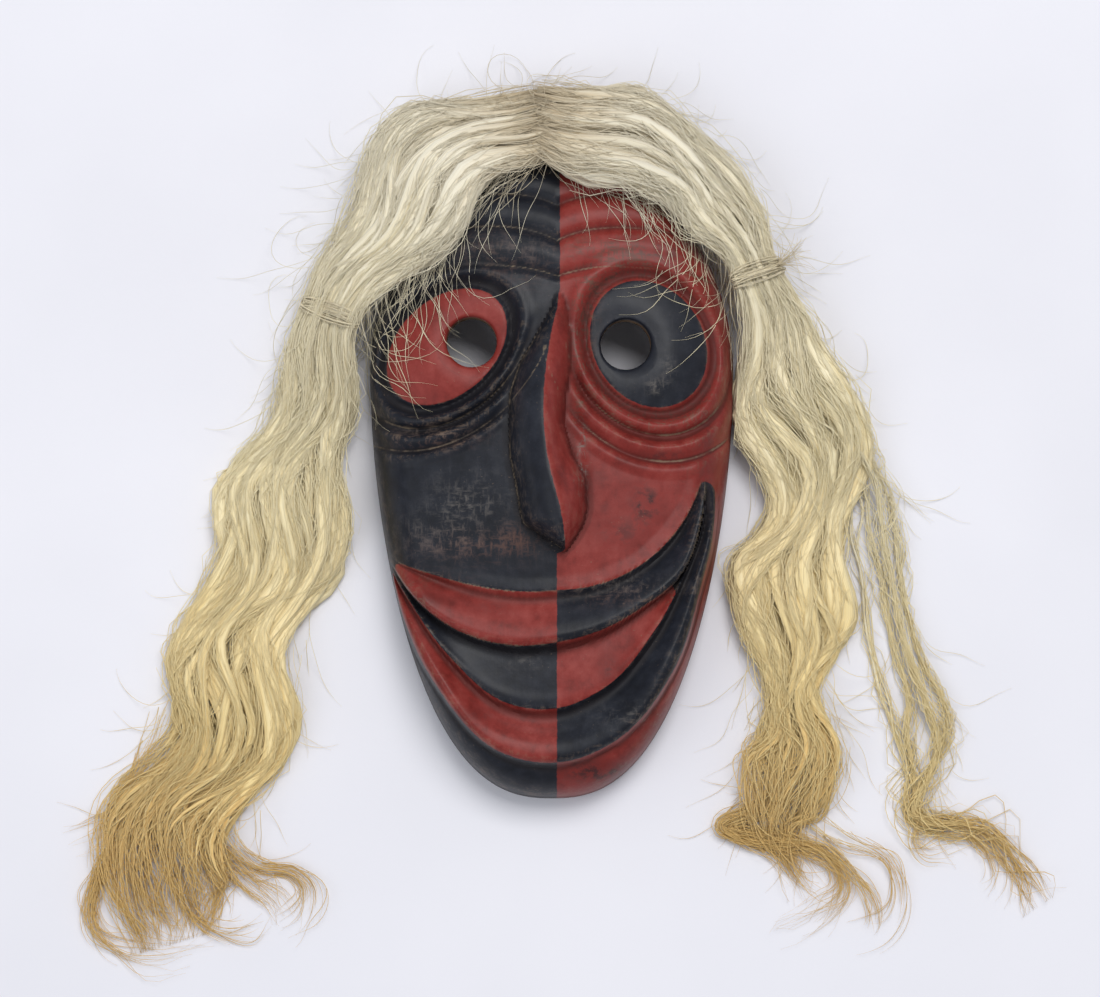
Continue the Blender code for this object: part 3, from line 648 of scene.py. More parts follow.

# %% [markdown]
# Years of handling have left their own marks on the mask: paint rubbed down to brown, dark smudges, and pale dust in
# shallow places. The dark list also holds painted shade on the right shoulder and under the lower lip, and the pale
# list a painted highlight along the nostril wing. A noise alone would spread them evenly, and a painted image would
# be tied to one picture. So each mark is a soft oval bell with a place, a size and an amount, and noise only breaks
# it up later.

# %% Places where the paint has changed
RUBBED_PLACES = (
    dict(at=(-0.178, 0.549), half=(0.060, 0.017), amount=0.85),
    dict(at=(-0.110, 0.384), half=(0.085, 0.024), amount=0.75),
    dict(at=(-0.050, 0.398), half=(0.030, 0.022), amount=0.55),
    dict(at=(-0.095, 0.830), half=(0.060, 0.030), amount=0.45),
    dict(at=(-0.045, 0.800), half=(0.040, 0.030), amount=0.25),
    dict(at=(0.100, 0.835), half=(0.080, 0.026), amount=0.95),
    dict(at=(0.150, 0.815), half=(0.050, 0.022), amount=0.60),
    dict(at=(0.048, 0.745), half=(0.022, 0.070), amount=0.80),
    dict(at=(0.045, 0.590), half=(0.012, 0.090), amount=0.85),
    dict(at=(0.105, 0.308), half=(0.075, 0.016), amount=0.50),
    dict(at=(0.215, 0.470), half=(0.030, 0.100), amount=0.30),
    dict(at=(-0.200, 0.330), half=(0.060, 0.014), amount=0.50),
)
# Dark smudges of handling, and painted shade on the right shoulder and under the lower lip
SMUDGE_AND_SHADE_PLACES = (
    dict(at=(0.143, 0.447), half=(0.022, 0.026), amount=1.10),
    dict(at=(0.106, 0.404), half=(0.032, 0.020), amount=0.60),
    dict(at=(0.052, 0.464), half=(0.010, 0.034), amount=0.45),
    # painted shade under the lower lip, where the chin falls away
    dict(at=(0.070, 0.040), half=(0.062, 0.018), amount=0.95),
    dict(at=(0.160, 0.100), half=(0.030, 0.030), amount=0.40),
    dict(at=(0.171, 0.520), half=(0.045, 0.007), amount=0.65),
    dict(at=(0.085, 0.200), half=(0.014, 0.022), amount=0.55),
    dict(at=(0.170, 0.835), half=(0.035, 0.014), amount=0.60),
    dict(at=(-0.090, 0.290), half=(0.030, 0.010), amount=0.35),
    dict(at=(-0.190, 0.300), half=(0.030, 0.012), amount=0.50),
    dict(at=(-0.110, 0.128), half=(0.020, 0.010), amount=0.50),
    # painted shade along the right shoulder, where the face turns away from the light
    dict(at=(0.235, 0.560), half=(0.016, 0.120), amount=0.45),
)
# Pale dust in shallow places, and a painted highlight along the nostril wing
DUST_AND_HIGHLIGHT_PLACES = (
    dict(at=(-0.125, 0.452), half=(0.050, 0.034), amount=0.55),
    dict(at=(-0.160, 0.400), half=(0.070, 0.030), amount=0.35),
    dict(at=(0.158, 0.625), half=(0.014, 0.012), amount=0.70),
    dict(at=(0.176, 0.655), half=(0.010, 0.020), amount=0.45),
    dict(at=(-0.178, 0.552), half=(0.060, 0.012), amount=0.45),
    dict(at=(-0.060, 0.835), half=(0.070, 0.022), amount=0.30),
    dict(at=(0.115, 0.318), half=(0.075, 0.016), amount=0.42),
    dict(at=(0.130, 0.125), half=(0.050, 0.016), amount=0.40),
    # painted highlight along the nostril wing
    dict(at=(0.046, 0.515), half=(0.007, 0.046), amount=1.30),
    dict(at=(-0.040, 0.205), half=(0.030, 0.010), amount=0.35),
)
EYE_RING = dict(start=1.02, full=1.16, end=1.46, amount=0.95)
print("rubbed, smudged and dusty places:", len(RUBBED_PLACES), len(SMUDGE_AND_SHADE_PLACES), len(DUST_AND_HIGHLIGHT_PLACES))

# %% [markdown]
# The paint is two colours that change places: black left and red right, swapped on both eyes and both lips. Each
# patch could be a material of its own, but their edges would then follow the mesh. Instead two signed distances
# are measured: how far a point lies right of the split line, and how far inside an eye or lip. Where the two have
# unlike signs the paint is black, otherwise red, and the edge is as sharp as it is wanted.

# %% Distances for the two colours
SPLIT_ABOVE, SPLIT_BELOW = 0.0123, 0.0077
CLOSED_LIPS = 0.012
LIP_END_RADIUS = 0.0027


def split_line(t):
    """The colour split: the nose's ridge, and one fixed place above it and one below."""
    ridge = nose_at(t, NOSE_RIDGE)[0]
    return np.where(t > NOSE_T[0], SPLIT_ABOVE, np.where(t < NOSE_T[-1], SPLIT_BELOW, ridge))


def band_depth(away, inner, outer):
    """Metres inside a band between two edges: the smaller of the ways to them."""
    return np.minimum(away - inner, outer - away) * FACE_LENGTH


def swap_depth(s, t):
    """Metres inside the nearest eye or lip, where the two colours change places."""
    eyes = [(1 - eye_reach(s, t, eye)) * eye_size(eye) for eye in EYES.values()]
    angle, away, edges = mouth_place(s, t)
    ends = np.minimum(angle - LIP_ANGLE[0], LIP_ANGLE[-1] - angle) * np.radians(1) * away * FACE_LENGTH
    upper, lower, both = [band_depth(away, edges[i], edges[j]) for i, j in ((0, 1), (2, 3), (0, 3))]
    closed = (edges[2] - edges[1] < CLOSED_LIPS) & (s > 0)
    inside = np.where(closed, both, np.maximum(upper, lower))
    lips = LIP_END_RADIUS - np.hypot(*[np.maximum(LIP_END_RADIUS - depth, 0) for depth in (inside, ends)])
    return np.max(eyes + [lips], axis=0)


print("depth inside a swapped place at the eyes' middles in mm:",
      in_mm(*[swap_depth(*[np.array(value) for value in eye["at"]]) for eye in EYES.values()]))

# %% [markdown]
# Paint wears off ridges first, pale wood shows along the sharpest lines, and the cuts grow darker the more hollow
# they are. An artist would paint those by eye. Here they are measured: how the surface curves at two sizes, and how
# far the nearest cut line is. The wear then sits where a hand and a cloth would really have made it, and the
# darkening follows the hollows of the carving.

# %% Distances for lines and wear
CURVE_STEP = 0.0011
CUT_LINES = (5, 8)
FAR = 1


def line_distance(s, t):
    """Metres to the nearest line where the wood shows pale through the paint: the forehead creases, the lower
    edges of the bags, the left edge of the nose and the edges of the lips."""
    away_from_brow = np.where(t > BROW_LEVEL, 0, FAR)
    lines = [np.abs(t - crease_level(s, crease)) * FACE_LENGTH + away_from_brow for crease in CREASES]
    for eye in EYES.values():
        run = (eye_reach(s, t, eye) - 1) * eye_size(eye) / eye["lid"]
        above = np.where(t < eye["at"][1], 0, FAR)
        lines += [np.abs(run - FOLD_RUN[place]) + above for place in CUT_LINES]
    left = nose_at(t, NOSE_LEFT)[0]
    lines.append(np.abs(s - left) * FACE_LENGTH + np.where((t < NOSE_T[1]) & (t > NOSE_T[-1]), 0, FAR))
    angle, away, edges = mouth_place(s, t)
    outside = np.where((angle > LIP_ANGLE[0]) & (angle < LIP_ANGLE[-1]), 0, FAR)
    lines += [np.abs(away - edge) * FACE_LENGTH + outside for edge in (edges[0], edges[1])]
    return np.min(lines, axis=0)


def curving(s, t, step):
    """How much a place stands below its neighbours a step away, for each metre squared: ridges are negative."""
    ds, dt = step * 2 * HALF_SPAN / FACE_WIDTH, step / FACE_LENGTH
    around = face_height(s + ds, t) + face_height(s - ds, t) + face_height(s, t + dt) + face_height(s, t - dt)
    return (around - 4 * face_height(s, t)) / step**2


def share_between(value, low, high):
    """0 below low, 1 above high and straight between them."""
    return np.clip((value - low) / (high - low), 0, 1)


def patches(s, t, places):
    """Soft oval bells of the named places, added up."""
    total = np.zeros_like(s)
    for place in places:
        ds, dt = (s - place["at"][0]) / place["half"][0], (t - place["at"][1]) / place["half"][1]
        total = total + place["amount"] * np.exp(-(ds**2) - dt**2)
    return total


def rubbed(s, t):
    """The rubbed patches, and a ring round the right eye that is strongest towards the nose."""
    q = eye_reach(s, t, EYES["right"])
    ring = np.interp(q, (1.0, EYE_RING["start"], EYE_RING["full"], EYE_RING["end"]), (0, 0.4, 1, 0))
    toward = eased(0.75 - 3.0 * (s - EYES["right"]["at"][0]) - 1.6 * (t - EYES["right"]["at"][1]))
    return np.clip(patches(s, t, RUBBED_PLACES) + EYE_RING["amount"] * ring * toward, 0, 1)


print("how the cheek curves at its middle:", round(float(curving(np.array(-0.15), np.array(0.45), CURVE_STEP)), 1))

# %% [markdown]
# A material can't call these functions, but it can read numbers that a mesh keeps for each of its points. So every
# measure is worked out once for all points and kept as an attribute, three numbers to each, in millimetres where
# it is a length. An attribute moves with its piece and goes through the export, which a texture file wouldn't.

# %% Keep the measures on the face
RIM_MARGIN = 0.0012
FINE_RIDGE, BROAD_RIDGE = (220, 1020), (170, 470)
FINE_GROOVE, BROAD_GROOVE = (110, 710), (80, 380)
BROAD_RIDGE_SHARE, BROAD_GROOVE_SHARE = 0.3, 0.5
BROAD_STEP = 3 * CURVE_STEP


def store(mesh, name, *columns):
    """Keeps up to three numbers for each point of a mesh as one attribute."""
    values = np.zeros((len(mesh.vertices), 3), dtype=np.float32)
    for i, column in enumerate(columns):
        values[:, i] = column
    layer = mesh.attributes.new(name, "FLOAT_VECTOR", "POINT")
    layer.data.foreach_set("vector", values.ravel())


def places_of(mesh):
    """The mesh's points as an array."""
    flat = np.empty(3 * len(mesh.vertices), dtype=np.float32)
    mesh.vertices.foreach_get("co", flat)
    return flat.reshape(-1, 3).astype(float)


spots = places_of(mask_face.data)
spot_s, spot_t = to_shares(spots[:, 0], spots[:, 1])
side_way = (spot_s - split_line(spot_t)) * FACE_WIDTH / (2 * HALF_SPAN)
behind = np.where(from_edge(spot_s, spot_t) > RIM_MARGIN, face_height(spot_s, spot_t) - spots[:, 2], 0)
swap_way = swap_depth(spot_s, spot_t)
store(mask_face.data, "paint_map", side_way / MILLIMETRE, swap_way / MILLIMETRE, behind / MILLIMETRE)
fine, broad = [curving(spot_s, spot_t, step) for step in (CURVE_STEP, BROAD_STEP)]
ridge = share_between(-fine, *FINE_RIDGE) + BROAD_RIDGE_SHARE * share_between(-broad, *BROAD_RIDGE)
# how hollow a place is; the finish makes it darker by this
groove = share_between(fine, *FINE_GROOVE) + BROAD_GROOVE_SHARE * share_between(broad, *BROAD_GROOVE)
store(mask_face.data, "wear_map", np.clip(ridge, 0, 1), np.clip(groove, 0, 1), rubbed(spot_s, spot_t))
# smudges with painted shade, and pale dust with a painted highlight
marks = [patches(spot_s, spot_t, places) for places in (SMUDGE_AND_SHADE_PLACES, DUST_AND_HIGHLIGHT_PLACES)]
store(mask_face.data, "mark_map", line_distance(spot_s, spot_t) / MILLIMETRE, *marks)
print("sharpest ridge and groove:", round(float(fine.min())), round(float(fine.max())))

# %% [markdown]
# The mask's paint was rubbed on thinly and handled for years. One flat colour would look like plastic, and a single
# noise like stone. So the finish is built up in layers, each laid over the last: a coat with cloudy brushing, brown
# rubbed places, dark smudges with painted shade, darkening in the cuts, pale dust with a painted highlight, worn
# ridges, thin pale lines and fine chips.

# %% Colours of paint and wood
RED_PAINT = ((0.130, 0.017, 0.014), (0.222, 0.029, 0.024), (0.285, 0.050, 0.042))
BLACK_PAINT = ((0.008, 0.009, 0.013), (0.013, 0.015, 0.022), (0.025, 0.028, 0.038))
BARE_WOOD = ((0.085, 0.050, 0.028), (0.170, 0.105, 0.058), (0.260, 0.170, 0.100))
RED_PLACES, BLACK_PLACES, WOOD_PLACES = (0.34, 0.50, 0.66), (0.34, 0.50, 0.68), (0.30, 0.52, 0.74)
WORN_RIDGE = (0.230, 0.165, 0.115)
PALE_LINE = (0.260, 0.200, 0.135)
# pale tone of the dust and of the painted highlight
PALE_DUST_AND_HIGHLIGHT = (0.200, 0.180, 0.160)
RUBBED_BROWN = (0.100, 0.048, 0.036)
# dark tone of the smudges and of the painted shade
SMUDGE_AND_SHADE = (0.020, 0.013, 0.014)
# near-black that darkens the grooves by how hollow they are
GROOVE_DARKENING = (0.014, 0.010, 0.009)
NOISES = {
    "cloud": ((1, 1, 1), 42.0, 6.0, 0.66),
    "mottle": ((1, 1, 1), 170.0, 5.0, 0.7),
    "strokes": ((1.0, 0.22, 1.0), 720.0, 3.0, 0.65),
    "scratch": ((0.24, 1.0, 1.0), 560.0, 3.0, 0.7),
    "speck": ((1, 1, 1), 900.0, 2.0),
    "grain": ((1.0, 0.05, 1.0), 260.0, 5.0, 0.65),
    "rag": ((1, 1, 1), 420.0, 3.0),
}
LAYERS = (
    ("rubbed", "MINIMUM", 0.80, RUBBED_BROWN),
    # smudges, with painted shade on the right shoulder and under the lower lip
    ("smudged_and_shaded", "MINIMUM", 0.85, SMUDGE_AND_SHADE),
    # darker in the grooves, by how hollow they are
    ("darkened_in_grooves", "MULTIPLY", 0.55, GROOVE_DARKENING),
    # dust, with a painted highlight along the nostril wing
    ("dust_and_highlight", "MINIMUM", 0.60, PALE_DUST_AND_HIGHLIGHT),
    ("worn", "MULTIPLY", 0.32, WORN_RIDGE),
    ("lined", "MULTIPLY", 0.55, PALE_LINE),
    ("chipped", "MULTIPLY", 0.35, WORN_RIDGE),
)
print("noises and layers of the paint:", len(NOISES), len(LAYERS))

# %% [markdown]
# Two things decide the look of a layer: where it lies, and how it is broken up. The masks below take the first from
# the attributes and the second from noise that is stretched like brush strokes or scratches. A mask that was only a
# noise would wear the paint where no hand reaches.

# %% Masks of the paint
def weighted(tree, first, share, second):
    """A share of the first and the rest of the second."""
    rest = sum_of(tree, "MULTIPLY", second, 1 - share)
    return sum_of(tree, "ADD", sum_of(tree, "MULTIPLY", first, share), rest)


def redness_of(tree, chart, ragged):
    """1 for red and 0 for black: half of one less the product of two signs, each a signed distance with a ragged
    edge, turned into -1 or 1."""
    signs = []
    for way, rough in ((chart["X"], 0.9), (chart["Y"], 0.7)):
        edge = sum_of(tree, "ADD", way, sum_of(tree, "MULTIPLY", ragged, rough))
        step = step_mask(tree, edge, -0.22, 0.22)
        signs.append(sum_of(tree, "SUBTRACT", sum_of(tree, "MULTIPLY", step, 2.0), 1.0))
    return sum_of(tree, "MULTIPLY_ADD", sum_of(tree, "MULTIPLY", *signs), -0.5, 0.5)


def paint_masks(tree, wear, mark, noise, ragged):
    """Each layer: its measured amount times a step of the noise that breaks it up."""
    torn = weighted(tree, sum_of(tree, "MAXIMUM", noise["strokes"], noise["scratch"]), 0.6, noise["mottle"])
    wander = sum_of(tree, "ADD", mark["X"], sum_of(tree, "MULTIPLY", ragged, 0.9))
    near = sum_of(tree, "SUBTRACT", 1.0, step_mask(tree, wander, 0.10, 0.55))
    parts = {
        "rubbed": (wear["Z"], torn, 0.47, 0.66),
        # smudges and painted shade, from their list of places
        "smudged_and_shaded": (mark["Y"], noise["mottle"], 0.38, 0.62),
        # darker in the grooves, by how hollow they are
        "darkened_in_grooves": (wear["Y"], noise["cloud"], 0.15, 0.55),
        # dust and a painted highlight, from their list of places
        "dust_and_highlight": (mark["Z"], torn, 0.48, 0.70),
        "worn": (wear["X"], torn, 0.50, 0.64),
        "lined": (near, noise["cloud"], 0.40, 0.60),
        "chipped": (step_mask(tree, noise["speck"], 0.68, 0.76), noise["cloud"], 0.42, 0.62),
    }
    return {name: sum_of(tree, "MULTIPLY", amount, step_mask(tree, *breaks))
            for name, (amount, *breaks) in parts.items()}


print("helpers for the paint's masks: weighted, redness_of, paint_masks")

# %% [markdown]
# Now the finish is put together. The back of the real mask is bare, so wood takes over from paint where a point
# lies well below the carved front. Gloss follows the same clouds as the coat, because rubbed paint shines unevenly,
# and a small bump of grain and knife facets keeps the light from running smoothly over it.

# %% Painted wood finish
def painted_wood_material():
    """The coat, then every layer mixed over it by its mask, then bare wood behind; gloss from the cloud; a bump
    from grain, mottle and facets."""
    material, tree, shader = new_material("painted_wood", 0.5)
    shader.inputs["Specular IOR Level"].default_value = 0.20
    place = add_node(tree, "ShaderNodeTexCoord").outputs["Object"]
    chart, wear, mark = [vector_parts(tree, name) for name in ("paint_map", "wear_map", "mark_map")]
    noise = {name: stretched_noise(tree, place, *values) for name, values in NOISES.items()}
    ragged = sum_of(tree, "SUBTRACT", noise["rag"], 0.5)
    masks = paint_masks(tree, wear, mark, noise, ragged)

    coat = weighted(tree, noise["cloud"], 0.55, noise["mottle"])
    red = colour_ramp(tree, coat, list(zip(RED_PLACES, RED_PAINT)))
    black = colour_ramp(tree, coat, list(zip(BLACK_PLACES, BLACK_PAINT)))
    colour = mixed(tree, "MIX", redness_of(tree, chart, ragged), black, red)
    for name, operation, amount, tone in LAYERS:
        colour = mixed(tree, "MIX", sum_of(tree, operation, masks[name], amount), colour, tone)
    wood = colour_ramp(tree, noise["grain"], list(zip(WOOD_PLACES, BARE_WOOD)))
    bare = step_mask(tree, sum_of(tree, "ADD", chart["Z"], ragged), 2.2, 3.4)
    tree.links.new(mixed(tree, "MIX", bare, colour, wood), shader.inputs["Base Color"])

    gloss = sum_of(tree, "MULTIPLY_ADD", noise["cloud"], 0.26, 0.28)
    gloss = sum_of(tree, "ADD", gloss, sum_of(tree, "MULTIPLY", masks["darkened_in_grooves"], 0.20))
    gloss = sum_of(tree, "ADD", gloss, sum_of(tree, "MULTIPLY", bare, 0.25))
    tree.links.new(gloss, shader.inputs["Roughness"])
    facets = add_node(tree, "ShaderNodeTexVoronoi", feature="SMOOTH_F1",
                      inputs={"Vector": place, "Scale": 130.0, "Smoothness": 0.6})
    height = sum_of(tree, "MULTIPLY", noise["grain"], 0.4)
    for value, share in ((noise["mottle"], 0.35), (facets.outputs["Distance"], 0.8)):
        height = sum_of(tree, "ADD", height, sum_of(tree, "MULTIPLY", value, share))
    bump = add_node(tree, "ShaderNodeBump", inputs={"Height": height, "Strength": 0.35, "Distance": 0.0005})
    tree.links.new(bump.outputs["Normal"], shader.inputs["Normal"])
    print("nodes in the painted wood:", len(tree.nodes))
    return material


SHARP_ANGLE = 40
mask_face.data.materials.clear()
mask_face.data.materials.append(painted_wood_material())
mask_face.data.polygons.foreach_set("use_smooth", np.ones(len(mask_face.data.polygons), dtype=bool))
mask_face.data.set_sharp_from_angle(angle=math.radians(SHARP_ANGLE))

# %% [markdown]
# The hair is two hanks of horsehair that part over the forehead, are tied beside the temples and fall loose
# beside the jaw. Blender's own hair isn't a mesh and wouldn't be exported, so every hair is laid by formula. A list
# of stations carries each hank: its middle, its width, how far it still rests on the face, and how deep it is. Each
# hair is then a line that keeps its own place across and through the hank.

# %% The two hanks and the stray lock
LEFT_HANK = (
    (0.015, 1.052, 0.125, 1.00, 0.016),
    (-0.170, 0.980, 0.200, 1.00, 0.019),
    (-0.257, 0.852, 0.175, 1.00, 0.018),
    (-0.340, 0.743, 0.098, 1.00, 0.016),
    (-0.372, 0.577, 0.153, 0.25, 0.017),
    (-0.414, 0.426, 0.185, 0.00, 0.015),
    (-0.469, 0.272, 0.190, 0.00, 0.013),
    (-0.492, 0.149, 0.200, 0.00, 0.012),
    (-0.534, 0.038, 0.215, 0.00, 0.011),
    (-0.583, -0.063, 0.205, 0.00, 0.009),
    (-0.600, -0.150, 0.185, 0.00, 0.007),
    (-0.580, -0.225, 0.180, 0.00, 0.005),
)
RIGHT_HANK = (
    (-0.058, 1.054, 0.125, 1.00, 0.016),
    (0.119, 1.006, 0.164, 1.00, 0.019),
    (0.248, 0.929, 0.130, 1.00, 0.018),
    (0.315, 0.806, 0.076, 1.00, 0.015),
    (0.374, 0.638, 0.172, 0.25, 0.017),
    (0.397, 0.446, 0.154, 0.00, 0.015),
    (0.382, 0.350, 0.170, 0.00, 0.013),
    (0.365, 0.257, 0.150, 0.00, 0.012),
    (0.371, 0.168, 0.120, 0.00, 0.012),
    (0.397, 0.082, 0.130, 0.00, 0.011),
    (0.352, 0.006, 0.120, 0.00, 0.009),
    (0.338, -0.056, 0.085, 0.00, 0.008),
    (0.380, -0.105, 0.065, 0.00, 0.007),
    (0.450, -0.130, 0.060, 0.00, 0.005),
)
STRAY_LOCK = (
    (0.388, 0.645, 0.060, 0.30, 0.011),
    (0.486, 0.495, 0.075, 0.00, 0.009),
    (0.497, 0.388, 0.085, 0.00, 0.008),
    (0.523, 0.242, 0.100, 0.00, 0.007),
    (0.563, 0.103, 0.105, 0.00, 0.007),
    (0.558, 0.000, 0.045, 0.00, 0.006),
    (0.575, -0.028, 0.030, 0.00, 0.005),
    (0.655, -0.060, 0.045, 0.00, 0.004),
    (0.720, -0.115, 0.065, 0.00, 0.004),
    (0.756, -0.165, 0.085, 0.00, 0.004),
)
PINCH_STATION = 3
DRAPE_SHARE = 0.80
DRAPE_RUN = 0.044
WAY_STEP = 0.9
RUN_STEPS = 400


def drape(s, t):
    """Height of what the hair lies on: the billet, or an eased slope from its shoulder down to the floor."""
    beyond = -from_edge(s, t)
    slope = DRAPE_SHARE * CHEEK_HEIGHT * (1 - eased((beyond + SHOULDER_RADIUS) / (SHOULDER_RADIUS + DRAPE_RUN)))
    return np.maximum(plain_front(s, t), slope)


def hank_columns(hank, u):
    """A hank's middle (s, t), width, lift and depth at places u along its stations."""
    stations = np.array(hank)
    return [smooth_table(u, np.arange(len(stations)), column) for column in stations.T]


def hank_frame(hank, u):
    """The hank's middle in metres, its sideways direction a quarter turn from its way, width, lift and depth.
    The way is taken over a broad step, so that the inner hairs of a bend don't fold back."""
    s, t, width, lift, depth = hank_columns(hank, u)
    ahead = np.array(to_metres(*hank_columns(hank, u + WAY_STEP)[:2]))
    behind = np.array(to_metres(*hank_columns(hank, u - WAY_STEP)[:2]))
    along = (ahead - behind) / np.linalg.norm(ahead - behind, axis=0)
    return np.array(to_metres(s, t)), np.array((-along[1], along[0])), width * FACE_LENGTH, lift, depth


def hank_run(hank):
    """Metres along the hank's middle at many places u, added up step by step."""
    u = np.linspace(0, len(hank) - 1, RUN_STEPS)
    middle = hank_frame(hank, u)[0]
    return u, np.concatenate(([0], np.cumsum(np.linalg.norm(np.diff(middle, axis=1), axis=0))))


print("lengths of the hanks and the stray lock in mm:",
      in_mm(*[hank_run(hank)[1][-1] for hank in (LEFT_HANK, RIGHT_HANK, STRAY_LOCK)]))

# %% [markdown]
# Horsehair that has been combed and tied falls in locks that wave together. Hairs with waves of their own would
# look like straw. So each lock has a set of slow sines with its own lengths and starts, every hair in the lock
# reads the same set, and only then adds a little of its own. All dice are seeded, so each run is the same.

# %% Waves that a lock's hairs share
SWAY_HEIGHT = 0.0062
SWAY_RISE = 0.0032
SWAY_LENGTH = 0.080
LOCK_WAVE = 0.0019
LOCK_WAVE_LENGTH = 0.055
OWN_WAVE_LENGTH = 0.034
SHARE_DRIFT = 0.115
DRIFT_LENGTH = 0.14
CROWN_LOOSENESS = 0.62
EDGE_SHARE = 0.41
EDGE_STEEPNESS = 2.2
SWAY_SPREAD = 2.2
RISE_LAG = 1.9
SWELL_SHARE = 0.35
SWELL_LENGTH = 0.09
LEVEL_DRIFT = 0.08
LEVEL_RANGE = (0.02, 1.0)
ARCH_FALL = 0.80
TWIST = 3.5
BOUND_SHARE = 0.35
OWN_LIFT = 0.45
OWN_LIFT_PACE, OWN_LIFT_START = 1.3, 0.02
FACE_CLEARANCE = 0.0006
PUSH_MARGIN, MOST_PUSH = 0.0012, 0.03
EDGE_RAMP = 0.003


def wave_set(dice, count, length):
    """Lengths and starts of three sines for each of count lines."""
    return length * dice.uniform(0.65, 1.8, (count, 3)), dice.random((count, 3))


def read_waves(waves, run, pick):
    """The three sines of each picked line added up along its run, and scaled to about one."""
    lengths, starts = waves
    phase = run[..., None] / lengths[pick][:, None, :] + starts[pick][:, None, :]
    return np.sin(2 * math.pi * phase).sum(axis=-1) / math.sqrt(3)


def looseness(u):
    """How freely a hank waves: not at all at the root and at the tie, a little over the crown, fully below."""
    crown = CROWN_LOOSENESS * eased(u / 0.8) * eased((PINCH_STATION - u) / 0.9)
    return np.where(u < PINCH_STATION, crown, eased((u - PINCH_STATION) / 1.2))


def top_of_wood(s, t):
    """The carved front inside the outline, and a steep ramp from its edge down to the floor just outside."""
    edge = from_edge(s, t)
    ramp = np.clip(1 + edge / EDGE_RAMP, 0, 1)
    return face_height(s, t) * ramp


def hair_lines(hank, face_side, locks, pick, start, end, rows, ring, turn, own, own_waves):
    """Points along hairs. A hair keeps its lock's share of the hank's width, drifts with the lock's slow waves,
    sways with the whole hank, winds round its lock's middle at its own ring and turn, and adds its own waves.
    Its height is what it lies on, plus its level in the hank's depth under an arch, plus its share of the sway."""
    u = start[:, None] + (end - start)[:, None] * np.linspace(0, 1, rows)
    middle, aside, width, lift, depth = hank_frame(hank, u)
    run = np.interp(u, *hank_run(hank))
    loose = looseness(u)
    share = locks["share"][pick][:, None] + SHARE_DRIFT * loose * read_waves(locks["drift"], run, pick)
    share = 0.5 + EDGE_SHARE * np.tanh(EDGE_STEEPNESS * (share - 0.5)) / math.tanh(EDGE_STEEPNESS / 2)
    swing = 2 * math.pi * run / SWAY_LENGTH + locks["phase"] + SWAY_SPREAD * share
    sway = SWAY_HEIGHT * locks["sway"] * loose * np.sin(swing)
    wave = LOCK_WAVE * locks["lively"] * loose * read_waves(locks["wave"], run, pick)
    spin = turn[:, None] + TWIST * run
    swelling = read_waves(locks["swell"], run, pick)
    swell = (1 + SWELL_SHARE * swelling) * locks["breadth"][pick][:, None]
    each = np.arange(len(pick))
    freedom = own[:, None] * (BOUND_SHARE + (1 - BOUND_SHARE) * loose)
    beside = ring[:, None] * width * swell * np.cos(spin) + freedom * read_waves(own_waves, run, each)
    off = width * (share - 0.5) + sway + wave + beside
    edge = from_edge(*to_shares(*(middle + aside * off)))
    push = np.clip(edge + PUSH_MARGIN, 0, MOST_PUSH) * eased((u - PINCH_STATION) / 0.4)
    place = middle + aside * (off - face_side * push)
    shares = to_shares(*place)
    arch = np.sqrt(np.clip(1 - ARCH_FALL * (2 * share - 1) ** 2, 0, 1))
    level = np.clip(locks["level"][pick][:, None] + LEVEL_DRIFT * swelling, *LEVEL_RANGE)
    height = drape(*shares) * lift + FACE_CLEARANCE + depth * arch * level
    height = height + ring[:, None] * depth * locks["height"] * np.sin(spin)
    height = height + SWAY_RISE * locks["sway"] * loose * np.sin(swing + RISE_LAG)
    lifted = read_waves(own_waves, OWN_LIFT_PACE * run + OWN_LIFT_START, each)
    height = np.maximum(height + OWN_LIFT * freedom * lifted, top_of_wood(*shares) + FACE_CLEARANCE)
    return np.stack((*place, np.maximum(height, FACE_CLEARANCE)), axis=-1), run


def run_at(hank, u):
    """Metres along the hank at one place u."""
    return float(np.interp(u, *hank_run(hank)))


def hank_locks(dice, across, levels, breadth, height, sway=1.0, phase=0.0, lively=1.0):
    """Dice for a hank's locks: a jittered grid of places across and through it, a breadth and waves for each."""
    count = across * levels
    column, row = np.divmod(np.arange(count), levels)
    return dict(
        share=(column + 0.5 + dice.uniform(-0.45, 0.45, count)) / across,
        level=(row + 0.5 + dice.uniform(-0.4, 0.4, count)) / levels,
        drift=wave_set(dice, count, DRIFT_LENGTH), wave=wave_set(dice, count, LOCK_WAVE_LENGTH),
        swell=wave_set(dice, count, SWELL_LENGTH), breadth=breadth * dice.uniform(0.55, 1.45, count),
        height=height, sway=sway, phase=phase, lively=lively)


print("a hank's run to its tie in mm, left and right:",
      in_mm(*[run_at(hank, PINCH_STATION) for hank in (LEFT_HANK, RIGHT_HANK)]))

# %% [markdown]
# A real hair is a round, slightly tapering fibre. A curve with a bevel would do for a few, but thousands of curve
# objects are slow. So each line becomes a thin closed tube of its own: a ring of a few points round every point of
# the line, turned square to its way, joined by quads and capped at both ends. A whole hank is one set of arrays.
# The "hair_map" attribute keeps where a point is round and along its hair, for the material to read.

# %% Tubes along lines
HAIR_SIDES = 3


